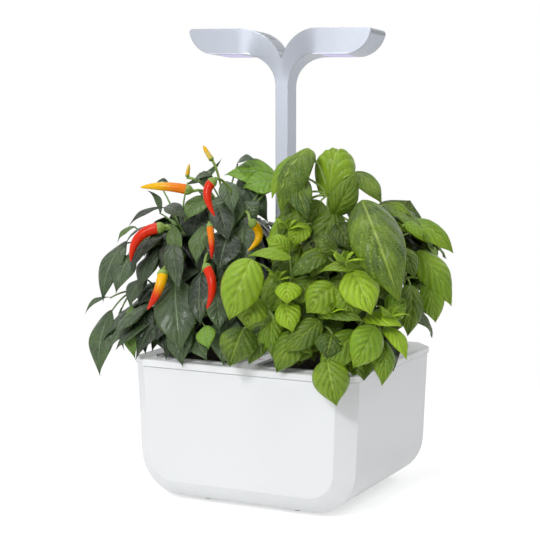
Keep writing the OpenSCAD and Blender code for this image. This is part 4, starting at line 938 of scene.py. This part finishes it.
def blades(rows, kind, rings, cells, seed, youth=0.0, shade=0.0):
    """Closed leaf blades, all at once. With t from base to tip and q across from -1 to 1, the
    half width is w/2 * sin(pi t^waist) ^ (round + point t^2). A point is the midrib point
    base + t d + 4 t (1 - t) bow f, plus half * sin(k q)/k along the side s and
    -half * (1 - cos(k q))/k along the face f, with k = -2 cup. To the face's height come the
    fold, the margin's waves, a groove over the midrib and quilting between the side veins,
    which leave the midrib forwards: their phase is veins (t - sweep |q| (1 - VEIN_BEND |q|)).
    youth brightens them and shade darkens them as painted shade, one for all or one for each leaf."""
    draw = np.random.default_rng(seed)
    count = len(rows)
    base, tip = rows[:, 0:3] * MM, rows[:, 3:6] * MM
    width, bow, cup = rows[:, WIDTH] * MM, rows[:, BOW] * MM, rows[:, CUP]
    az, el = np.radians(rows[:, 7]), np.radians(rows[:, 8])
    d = tip - base
    along = unit(d)
    look = np.stack([np.cos(el) * np.cos(az), np.cos(el) * np.sin(az), np.sin(el)], -1)
    face = unit(look - along * (look * along).sum(-1, keepdims=True))
    side = np.cross(along, face)

    x = np.linspace(0, 1, rings + 2)[1:-1]
    t = (x - CROWDING * np.sin(2 * np.pi * x))[None, :, None]
    q = np.linspace(-1, 1, cells + 1)[None, None, :]
    half = width[:, None, None] / 2 * np.sin(np.pi * t ** kind["waist"]) ** (
        kind["round"] + kind["point"] * t ** 2)
    k = -2 * cup
    k = np.where(np.abs(k) < LEAST_CURL, LEAST_CURL, k)[:, None, None]
    across = half * np.sin(k * q) / k
    up = -half * (1 - np.cos(k * q)) / k + kind["fold"] * half * np.abs(q)
    phase = draw.uniform(0, 2 * np.pi, (count, 1, 1))
    up = up + (kind["wave"] * half * np.abs(q) ** 3
               * np.sin(2 * np.pi * kind["waves"] * t + phase + np.sign(q) * WAVE_OFFSET))
    vein = kind["veins"] * (t - kind["sweep"] * np.abs(q) * (1 - VEIN_BEND * np.abs(q)))
    vein = np.broadcast_to(vein, (count,) + vein.shape[1:])
    swell = np.minimum(width[:, None, None] / (FULL_WIDTH * MM), MOST_SWELL)
    rounded = np.sqrt(np.clip(1 - q ** 2, 0, 1))
    open_part = rounded * np.sin(np.pi * t) ** 0.6
    puff = np.abs(np.sin(np.pi * vein)) ** 0.75
    up = up + kind["quilt"] * MM * swell * (puff - PUFF_LEVEL) * open_part
    groove = np.exp(-(q * half / (GROOVE_WIDTH * MM)) ** 2) * np.sin(np.pi * t) ** 0.5
    up = up - kind["groove"] * MM * swell * groove
    turn = np.radians(kind["twist"]) * draw.uniform(-1, 1, (count, 1, 1)) * (t - 0.5) * 2
    cos, sin = np.cos(turn)[..., None], np.sin(turn)[..., None]
    s, f = side[:, None, None], face[:, None, None]
    s_turned, f_turned = cos * s + sin * f, cos * f - sin * s
    lift = 4 * t * (1 - t) * bow[:, None, None]
    middle = base[:, None, None] + t[..., None] * d[:, None, None] + lift[..., None] * f
    upper = middle + across[..., None] * s_turned + up[..., None] * f_turned
    under = upper - (kind["thick"] * MM * rounded)[..., None] * f_turned
    ring = np.concatenate([upper, under[:, :, -2:0:-1]], axis=2)
    around = 2 * cells
    points = np.concatenate([ring.reshape(count, -1, 3), base[:, None], tip[:, None]], axis=1)
    quads, triangles = ring_faces(count, rings, around)

    q_ring = np.concatenate([q[0, 0], q[0, 0, -2:0:-1]])
    t_ring = np.repeat(t[0, :, 0], around)
    blade = np.stack([t_ring, np.tile(q_ring, rings) * 0.5 + 0.5], -1)
    blade = np.tile(np.concatenate([blade, [[0, 0.5], [1, 0.5]]]), (count, 1))
    vein_ring = np.concatenate([vein, vein[:, :, -2:0:-1]], axis=2).reshape(count, -1)
    ends = np.stack([np.zeros(count), np.full(count, kind["veins"])], -1)
    vein_u = np.concatenate([vein_ring, ends], axis=1)
    away = np.concatenate([np.tile(np.abs(q_ring), rings), [0, 0]])
    veins = np.stack([vein_u.ravel(), np.tile(away, count)], -1)
    below = np.concatenate([np.zeros(cells + 1), np.ones(cells - 1)])
    below = np.concatenate([np.tile(below, rings), [0, 0]])
    each = {"tone": draw.uniform(0, 1, count), "youth": youth, "shade": shade}
    values = {key: np.repeat(np.broadcast_to(value, count), rings * around + 2)
              for key, value in each.items()}
    return {"points": points.reshape(-1, 3), "quads": quads, "triangles": triangles,
            "uv": {"blade": blade, "vein": veins},
            "values": {"under": np.tile(below, count), **values}}


def join_blades(parts):
    """Several sets of blades as one."""
    points = [p["points"] for p in parts]
    joined = {"points": np.concatenate(points)}
    for faces in ("quads", "triangles"):
        joined[faces] = shifted([p[faces] for p in parts], points)
    for group in ("uv", "values"):
        joined[group] = {key: np.concatenate([p[group][key] for p in parts])
                         for key in parts[0][group]}
    return joined


def attribute_value(tree, name):
    node = tree.nodes.new("ShaderNodeAttribute")
    node.attribute_name = name
    return node.outputs["Fac"]


def uv_axes(tree, name):
    """The two values of a UV layer."""
    pair = tree.nodes.new("ShaderNodeUVMap")
    pair.uv_map = name
    axes = tree.nodes.new("ShaderNodeSeparateXYZ")
    tree.links.new(pair.outputs["UV"], axes.inputs[0])
    return axes.outputs[0], axes.outputs[1]


def net_value(tree, scale):
    """1 on the lines of a fine net of small veins, and 0 within its meshes."""
    line = 0.16
    cells = tree.nodes.new("ShaderNodeTexVoronoi")
    cells.feature = "DISTANCE_TO_EDGE"
    cells.inputs["Scale"].default_value = scale
    tree.links.new(object_coords(tree), cells.inputs["Vector"])
    return ramp_value(tree, cells.outputs["Distance"], 0.0, line, 1.0, 0.0)


LEAF_GRAIN, STREAK_DEPTH = 0.00008, 0.0003
UNDER_ROUGHNESS = 0.7
STREAK_STRETCH = (1, 1, 0.12)
FOOT_LOW, FOOT_HIGH = 0.11, 0.17    # heights in metres between which a stem's dark foot fades


def leaf_material(name, tones, gloss, coat, vein_depth, net, translucent):
    """A leaf. tones are hex colours: dark and upper for its leaves' range, dark also for the painted
    shade in the grooves of the side veins, young for lighter patches, bright for its youngest
    leaves and its margins, pale for the midrib and side veins, which follow the blade, and under
    for the duller underside."""
    tone = {key: srgb(value) for key, value in tones.items()}
    material, tree, shader = new_material(
        name, tone["upper"], gloss, Subsurface_Weight=translucent,
        Subsurface_Radius=(0.6, 1.0, 0.2), Subsurface_Scale=0.0012, Specular_IOR_Level=0.3,
        Coat_Weight=coat, Coat_Roughness=0.18)
    phase, away = uv_axes(tree, "vein")
    under, youth, shade, own_tone = (attribute_value(tree, key)
                                     for key in ("under", "youth", "shade", "tone"))

    def times(a, b):
        return math_node(tree, "MULTIPLY", a, b)

    # wave is 0 half way between two side veins and 0.5 on them
    fraction = math_node(tree, "FRACT", phase)
    wave = math_node(tree, "ABSOLUTE", math_node(tree, "SUBTRACT", fraction, 0.5))
    # painted shade: the colour is darkened towards the dark tone along the grooves of the side veins,
    # which the same value also sinks by bump
    hollow_and_painted_shade = ramp_value(tree, wave, 0.15, 0.5, 0.0, 0.12)
    midrib = ramp_value(tree, away, 0.0, 0.075, 1.0, 0.0)
    side_vein = times(ramp_value(tree, wave, 0.43, 0.5), ramp_value(tree, away, 0.6, 1.0, 1.0, 0.1))
    lines = math_node(tree, "MAXIMUM", times(side_vein, 0.6), times(net_value(tree, net), 0.35))
    lines = math_node(tree, "MAXIMUM", lines, midrib)
    cloud = ramp_value(tree, noise_value(tree, scale=40, detail=2), 0.35, 0.75, 0, 0.4)
    margin = ramp_value(tree, away, 0.9, 1.0, 0.0, 0.35)
    colour = blend_colour(tree, ramp_value(tree, own_tone, 0.05, 0.95), tone["dark"], tone["upper"])
    for share, key in ((cloud, "young"), (youth, "bright"), (hollow_and_painted_shade, "dark"),
                       (times(lines, 0.55), "pale"), (margin, "bright"),
                       (times(under, 0.75), "under")):
        colour = blend_colour(tree, share, colour, tone[key])
    # painted shade: each leaf's colour is multiplied down by up to 0.93 of its shade, for the shade
    # deep inside the plant
    light = math_node(tree, "SUBTRACT", 1.0, times(shade, 0.93))
    colour = blend_colour(tree, 1.0, colour, light, "MULTIPLY")

    normal = bump_normal(tree, times(hollow_and_painted_shade, -4.0), vein_depth)
    normal = bump_normal(tree, times(lines, -1.0), vein_depth, normal)
    normal = bump_normal(tree, noise_value(tree, scale=1100, detail=3), LEAF_GRAIN, normal, 0.6)
    sheen = noise_value(tree, scale=240, detail=3)
    sheen = ramp_value(tree, sheen, 0.35, 0.65, gloss - 0.05, gloss + 0.1)
    set_inputs(tree, shader, Base_Color=colour, Normal=normal,
               Roughness=blend_value(tree, under, sheen, UNDER_ROUGHNESS))
    return material


def stem_material(name, green, dark, pale):
    """A stem: green with lengthwise paler streaks, and darker at its foot."""
    material, tree, shader = new_material(name, srgb(green), 0.45, Subsurface_Weight=0.15,
                                          Subsurface_Radius=(0.6, 1.0, 0.2), Subsurface_Scale=0.001)
    streak = noise_value(tree, scale=900, detail=3, vector=stretched(tree, STREAK_STRETCH))
    axes = tree.nodes.new("ShaderNodeSeparateXYZ")
    tree.links.new(object_coords(tree), axes.inputs[0])
    foot = ramp_value(tree, axes.outputs[2], FOOT_LOW, FOOT_HIGH, 1.0, 0.0)
    colour = blend_colour(tree, ramp_value(tree, streak, 0.35, 0.7), srgb(green), srgb(pale))
    colour = blend_colour(tree, math_node(tree, "MULTIPLY", foot, 0.7), colour, srgb(dark))
    set_inputs(tree, shader, Base_Color=colour, Normal=bump_normal(tree, streak, STREAK_DEPTH))
    return material


TWIG_RINGS, STALK_RINGS, STEM_AROUND = 10, 8, 8
INTO_LEAF = 0.05              # share of a leaf's length that its stalk reaches in


def nearest_hubs(places, hubs):
    """The branch point nearest to each place, and its distance as a column."""
    hubs = np.array(hubs, float)
    gap = np.linalg.norm(places[:, None] - hubs[None], axis=-1)
    return hubs[gap.argmin(1)], gap.min(1)[:, None]


def twig_paths(hubs, twigs, sway):
    """Centre lines and radii of the twigs, each bowed aside by sway times its length."""
    hubs = np.array(hubs, float)
    start, end = (np.array([hubs[twig[k]] if isinstance(twig[k], int) else twig[k] for twig in twigs],
                           float) for k in (0, 1))
    turn = np.arange(len(twigs)) * 2.4
    aside = np.stack([np.cos(turn), np.sin(turn), np.zeros_like(turn)], -1)
    middle = (start + end) / 2 + aside * sway * np.linalg.norm(end - start, axis=1)[:, None]
    share = np.linspace(0, 1, TWIG_RINGS)[None]
    radii = np.array([twig[2:4] for twig in twigs], float)
    radii = radii[:, :1] * (1 - share) + radii[:, 1:] * share
    return bends(start, middle, end, TWIG_RINGS) * MM, radii * MM


def stalk_paths(rows, hubs, radius, sag):
    """Stalks from the nearest branch point to each leaf's base, arching upwards by sag times
    their length."""
    base = rows[:, :3]
    start, gap = nearest_hubs(base, hubs)
    middle = (start + base) / 2 + np.array([0, 0, 1]) * sag * gap
    share = np.linspace(0, 1, STALK_RINGS)[None]
    radii = np.broadcast_to(radius * (1.15 - 0.35 * share), (len(rows), STALK_RINGS))
    end = base + INTO_LEAF * (rows[:, 3:6] - base)
    return bends(start, middle, end, STALK_RINGS) * MM, radii * MM


def make_stems(name, material, body, groups, around):
    """One piece of all the given tubes."""
    points, quads, triangles, _ = zip(*(tubes(paths, radii, around) for paths, radii in groups))
    mesh_object(name, np.concatenate(points), shifted(quads, points), shifted(triangles, points),
                material, body)


def make_blades(name, blade_sets, material, body, stands_for=()):
    """One piece of all the given sets of blades."""
    b = join_blades(blade_sets)
    mesh_object(name, b["points"], b["quads"], b["triangles"], material, body, stands_for,
                b["uv"], b["values"])


def youths(rows, bright):
    return np.array([bright.get(i, 0.0) for i in range(len(rows))])


def make_plant(name, body, node, leaf, kind, form, layers, stems, stalked):
    """A plant's leaves, the first layer as a piece that stands for the CAD node and the others as
    one behind it, and its stems. A layer is [rows, rings, cells, seed, youth, share of the
    painted shade that its depth in the form gives]."""
    sets = [blades(rows, kind, rings, cells, seed, youth, share * depth_shade(rows, *form))
            for rows, rings, cells, seed, youth, share in layers]
    make_blades(f"{name}_front_leaves", sets[:1], leaf, body, (node,))
    make_blades(f"{name}_back_leaves", sets[1:], leaf, body)
    material, hubs, twigs, sway, radius, sag = stems
    make_stems(f"{name}_stems", material, body,
               [twig_paths(hubs, twigs, sway), stalk_paths(np.concatenate(stalked), hubs, radius, sag)],
               STEM_AROUND)


def make_chilli():
    """The chilli plant: drooping dark leaves on green stems."""
    leaf = leaf_material("chilli_leaf", {"upper": "3C4E34", "young": "5E7C38", "dark": "141E18",
                                         "under": "66805A", "pale": "93AA80", "bright": "78A41C"},
                         gloss=0.36, coat=0.16, vein_depth=0.0003, net=620, translucent=0.1)
    stem = stem_material("chilli_stem", "5E7F3A", "4A4A2A", "86A25A")
    front = np.array(CHILLI_LEAVES, float)
    front[:, WIDTH] *= CHILLI_WIDER
    crown = np.concatenate([back_leaves(-1, 16, 29, 114, 110), inner_leaves(-1, 15, 32, 0.6, 1, 84, 12),
                            inner_leaves(-1, 4, 44, 0.14, 0.74, 84, 10)])
    fill = within(np.concatenate([thicket(*CHILLI_FORM, 160, 27, 50, SEED),
                                  thicket(*CHILLI_TOP, 44, 19, 36, SEED + 9)]), *CHILLI_ROOM)
    make_plant("chilli", "cartridge_left", "chili_plant", leaf, CHILLI_BLADE, CHILLI_FORM,
               [(front, 34, 16, SEED, youths(front, CHILLI_YOUNG), CROWN_SHADE),
                (crown, 22, 12, SEED + 1, 0.0, CROWN_SHADE),
                # the filling leaves take the full painted shade of their depth
                (fill, 14, 8, SEED + 2, 0.0, 1.0)],
               (stem, CHILLI_HUBS, CHILLI_TWIGS, 0.04, 0.8, 0.08), [front, crown, fill])


def make_basil():
    """The basil plant: cupped bright leaves, quilted between their veins."""
    leaf = leaf_material("basil_leaf", {"upper": "769E0E", "young": "A6C824", "dark": "2C4C06",
                                        "under": "8CA840", "pale": "BCD060", "bright": "A6CC1E"},
                         gloss=0.34, coat=0.1, vein_depth=0.0004, net=520, translucent=0.16)
    stem = stem_material("basil_stem", "8FAE4C", "6A7F34", "B4C978")
    front = np.array(BASIL_LEAVES + BASIL_SPRAY, float)
    front[:, CUP] -= BASIL_CURL
    front[:, WIDTH] *= np.where(front[:, WIDTH] < BASIL_SMALL, BASIL_WIDER, 1.0)
    crown = np.concatenate([back_leaves(1, 14, 38, 114, 122), inner_leaves(1, 14, 40, 0.6, 1, 84, 10),
                            inner_leaves(1, 5, 52, 0.14, 0.74, 84, 8)])
    fill = within(np.concatenate([thicket(*BASIL_FORM, 160, 32, 42, SEED + 3),
                                  thicket(*BASIL_INNER, 64, 27, 38, SEED + 7)]), *BASIL_ROOM)
    tips = rosettes(BASIL_TIPS)
    make_plant("basil", "cartridge_right", "basil_plant", leaf, BASIL_BLADE, BASIL_FORM,
               [(front, 44, 18, SEED + 4, youths(front, BASIL_YOUNG), CROWN_SHADE),
                (crown, 24, 14, SEED + 5, 0.0, CROWN_SHADE),
                # the filling leaves take the full painted shade of their depth
                (fill, 14, 10, SEED + 6, 0.0, 1.0),
                (tips, 12, 8, SEED + 8, 0.8, 0.0)],
               (stem, BASIL_HUBS, BASIL_TWIGS, 0.03, 0.9, 0.1),
               [front, crown, fill, tips[::ROSETTE_LEAVES]])


# ---- Fruits --------------------------------------------------------------------------
# A fruit is [stalk end, middle, tip, diameter], in millimetres, with the colours at its stalk
# end and its tip.

RED, ORANGE, YELLOW, PALE = "DE2C00", "EE8206", "F4BE08", "EED468"
FRUITS = [
    ((-64, -46, 252), (-83, -54, 255), (-103, -60, 254), 8.2, ORANGE, YELLOW),
    ((-82, -60, 222), (-99, -69, 214), (-104, -74, 194), 9.1, RED, RED),
    ((-32, -64, 262), (-35, -70, 251), (-27, -72, 234), 7.7, RED, RED),
    ((-32, -72, 227), (-27, -78, 214), (-26, -80, 201), 5.5, ORANGE, RED),
    ((-5, -52, 229), (-2, -44, 217), (-6, -56, 206), 7.3, YELLOW, YELLOW),
    ((-68, -84, 189), (-68, -92, 175), (-77, -94, 159), 8.6, YELLOW, RED),
    ((-28, -86, 196), (-19, -92, 181), (-23, -94, 163), 7.7, RED, RED),
    ((-63, -10, 275), (-67, -12, 282), (-70, -12, 287), 4.5, PALE, YELLOW),
    ((-90, -4, 260), (-89, -4, 266), (-88, -4, 271), 3.6, YELLOW, PALE),
    ((-80, 50, 240), (-88, 58, 230), (-90, 62, 212), 8, RED, RED),
]
FRUIT_RINGS, FRUIT_AROUND = 36, 24
FRUIT_STALK_RINGS, CAP_AROUND = 10, 12
TIP_RADIUS = 0.12             # millimetres
TURN_FROM, TURN_OVER = 0.25, 0.45    # share of a fruit at which its colour turns, and over which
# A cap's radii along it and its width, length and start, as shares of its fruit's diameter
CAP_SHAPE = (0.28, 0.42, 0.66, 0.85, 0.98, 1.05, 1.06, 1.0)
CAP_WIDTH, CAP_LENGTH, CAP_BEHIND = 0.5084, 0.85, 0.45
BEHIND_FRUIT, STALK_ARCH = 0.16, 0.16


def fruit_profile(t):
    """Share of the full radius along a fruit: a rounded shoulder, a slow taper and a fine tip."""
    shoulder = np.sqrt(np.clip(1 - (1 - np.clip(t / 0.10, 0, 1)) ** 2, 0, 1))
    taper = 1 - 0.42 * t ** 1.6
    point = np.clip(1 - t, 0, 1) ** 0.55 * 1.35
    return shoulder * np.minimum(taper, point) * 1.02


def fruit_material():
    """Waxy skin whose colour runs from the stalk end's colour to the tip's."""
    material, tree, shader = new_material(
        "chilli_fruit", srgb(RED), 0.26, Coat_Weight=0.06, Coat_Roughness=0.1,
        Specular_IOR_Level=0.2, Subsurface_Weight=0.05, Subsurface_Radius=(1.0, 0.4, 0.2),
        Subsurface_Scale=0.002)
    skin = tree.nodes.new("ShaderNodeAttribute")
    skin.attribute_name = "skin"
    skin = skin.outputs["Color"]
    mottle = noise_value(tree, scale=220, detail=4)
    dents = noise_value(tree, scale=260, detail=2)
    set_inputs(tree, shader, Normal=bump_normal(tree, dents, 0.0004, strength=0.4),
               Base_Color=blend_colour(tree, ramp_value(tree, mottle, 0.3, 0.75, 0.0, 0.22), skin,
                                       skin, "MULTIPLY"),
               Roughness=ramp_value(tree, mottle, 0.3, 0.7, 0.22, 0.32))
    return material


def make_fruits():
    """The fruits, their green caps and their stalks."""
    t = np.linspace(0, 1, FRUIT_RINGS)
    start, middle, end = (np.array([f[i] for f in FRUITS], float) for i in range(3))
    size = np.array([f[3] for f in FRUITS], float)
    lines = bends(start, middle, end, FRUIT_RINGS) * MM
    radii = np.maximum(fruit_profile(t)[None] * size[:, None] / 2, TIP_RADIUS) * MM
    points, quads, triangles, pairs = tubes(lines, radii, FRUIT_AROUND)
    piece = mesh_object("chilli_fruits", points, quads, triangles, fruit_material(),
                        "cartridge_left", ("chili_fruits",))
    tops, tips = (np.array([srgb(f[i]) for f in FRUITS]) for i in (4, 5))
    share = np.clip((pairs[:, 0] - TURN_FROM) / TURN_OVER, 0, 1).reshape(len(FRUITS), -1, 1)
    share = smooth_step(share)
    skin = tops[:, None] * (1 - share) + tips[:, None] * share
    skin = np.concatenate([skin, np.ones(skin.shape[:2] + (1,))], -1).reshape(-1, 4)
    colours = piece.data.color_attributes.new("skin", "FLOAT_COLOR", "POINT")
    colours.data.foreach_set("color", skin.astype(np.float32).ravel())

    cap = stem_material("chilli_cap", "6E8F35", "6E8F35", "9DB55A")
    ahead = unit(lines[:, 3] - lines[:, 0])
    along = (np.linspace(0, 1, len(CAP_SHAPE)) - CAP_BEHIND) * CAP_LENGTH
    cap_lines = lines[:, :1] + ahead[:, None] * along[None, :, None] * size[:, None, None] * MM
    cap_radii = np.array(CAP_SHAPE)[None] * CAP_WIDTH * size[:, None] * MM
    back = start - (middle - start) * BEHIND_FRUIT
    hub, gap = nearest_hubs(back, CHILLI_HUBS)
    bend = (back + hub) / 2 + np.array([0, 0, STALK_ARCH]) * gap
    stalk = bends(hub, bend, back, FRUIT_STALK_RINGS) * MM
    stalk_radii = np.linspace(0.7, 1.25, FRUIT_STALK_RINGS)[None] * np.ones((len(FRUITS), 1)) * MM
    make_stems("chilli_caps", cap, "cartridge_left",
               [(cap_lines, cap_radii), (stalk, stalk_radii)], CAP_AROUND)


# ---- Growing blocks ------------------------------------------------------------------


BLOCK_COLUMNS, BLOCK_ROWS = 56, 110
BLOCK_INSET = 0.0002          # metres
BLOCK_CORNER = 7              # millimetres
CRUMB_DEPTH, CRUMB_HEIGHT = 0.81, 0.45    # of the top's middle level and its sines, millimetres


def peat_material():
    """Dark fibrous peat with paler flecks."""
    material, tree, shader = new_material("growing_peat", srgb("2B2018"), 0.95)
    crumb = noise_value(tree, scale=420, detail=5, roughness=0.7)
    fleck = ramp_value(tree, noise_value(tree, scale=700, detail=3), 0.62, 0.68)
    colour = blend_colour(tree, ramp_value(tree, crumb, 0.35, 0.7), srgb("1B140E"), srgb("4A382A"))
    colour = blend_colour(tree, math_node(tree, "MULTIPLY", fleck, 0.8), colour, srgb("A69A84"))
    set_inputs(tree, shader, Base_Color=colour, Normal=bump_normal(tree, crumb, 0.0015))
    return material


def make_block(side, material):
    """A growing block: the CAD block's box with rounded upright corners and a crumbly top, which
    lies below the box's top by a sum of sines of x and y."""
    node = f"cartridge_{side}_block"
    low, high = (np.array(c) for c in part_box(node))
    grid = np.meshgrid(np.linspace(-1, 1, BLOCK_COLUMNS), np.linspace(-1, 1, BLOCK_ROWS))
    corner = BLOCK_CORNER * MM
    half = (high - low) / 2
    centred = [grid[k] * (half[k] - BLOCK_INSET) for k in (0, 1)]
    past = [np.clip(np.abs(centred[k]) - (half[k] - corner), 0, None) for k in (0, 1)]
    reach = np.hypot(*past)
    pull = np.where(reach > corner, corner / np.maximum(reach, 1e-9), 1)
    x, y = ((low[k] + high[k]) / 2 + centred[k] - np.sign(centred[k]) * past[k] * (1 - pull)
            for k in (0, 1))
    crumbs = (np.sin(x * 900 + np.sin(y * 610) * 2) * np.sin(y * 770 + np.sin(x * 530) * 2)
              + 0.6 * np.sin(x * 2100 + y * 1300) * np.sin(y * 1900 - x * 800))
    top = high[2] - (CRUMB_DEPTH + CRUMB_HEIGHT * crumbs) * MM
    bottom = np.full_like(top, low[2] + BLOCK_INSET)
    points = np.concatenate([np.stack([x, y, z], -1).reshape(-1, 3) for z in (top, bottom)])
    shift = top.size
    index = np.arange(shift).reshape(top.shape)
    face = np.stack([index[:-1, :-1], index[:-1, 1:], index[1:, 1:], index[1:, :-1]], -1).reshape(-1, 4)
    edge = np.concatenate([index[0], index[1:, -1], index[-1, -2::-1], index[-2:0:-1, 0]])
    after = np.roll(edge, -1)
    wall = np.stack([edge + shift, after + shift, after, edge], -1)
    quads = np.concatenate([face, face[:, ::-1] + shift, wall])
    mesh_object(f"growing_block_{side}", points, quads, np.zeros((0, 3), int), material,
                f"cartridge_{side}", (node,))


# ---- Making --------------------------------------------------------------------------

scene = bpy.context.scene
scene.view_settings.view_transform = "Standard"
make_camera()
make_world()
make_floor()
for lamp_row in LAMPS:
    make_lamp(*lamp_row)

dress_housings()
make_chilli()
make_basil()
make_fruits()
peat = peat_material()
for side_name in ("left", "right"):
    make_block(side_name, peat)
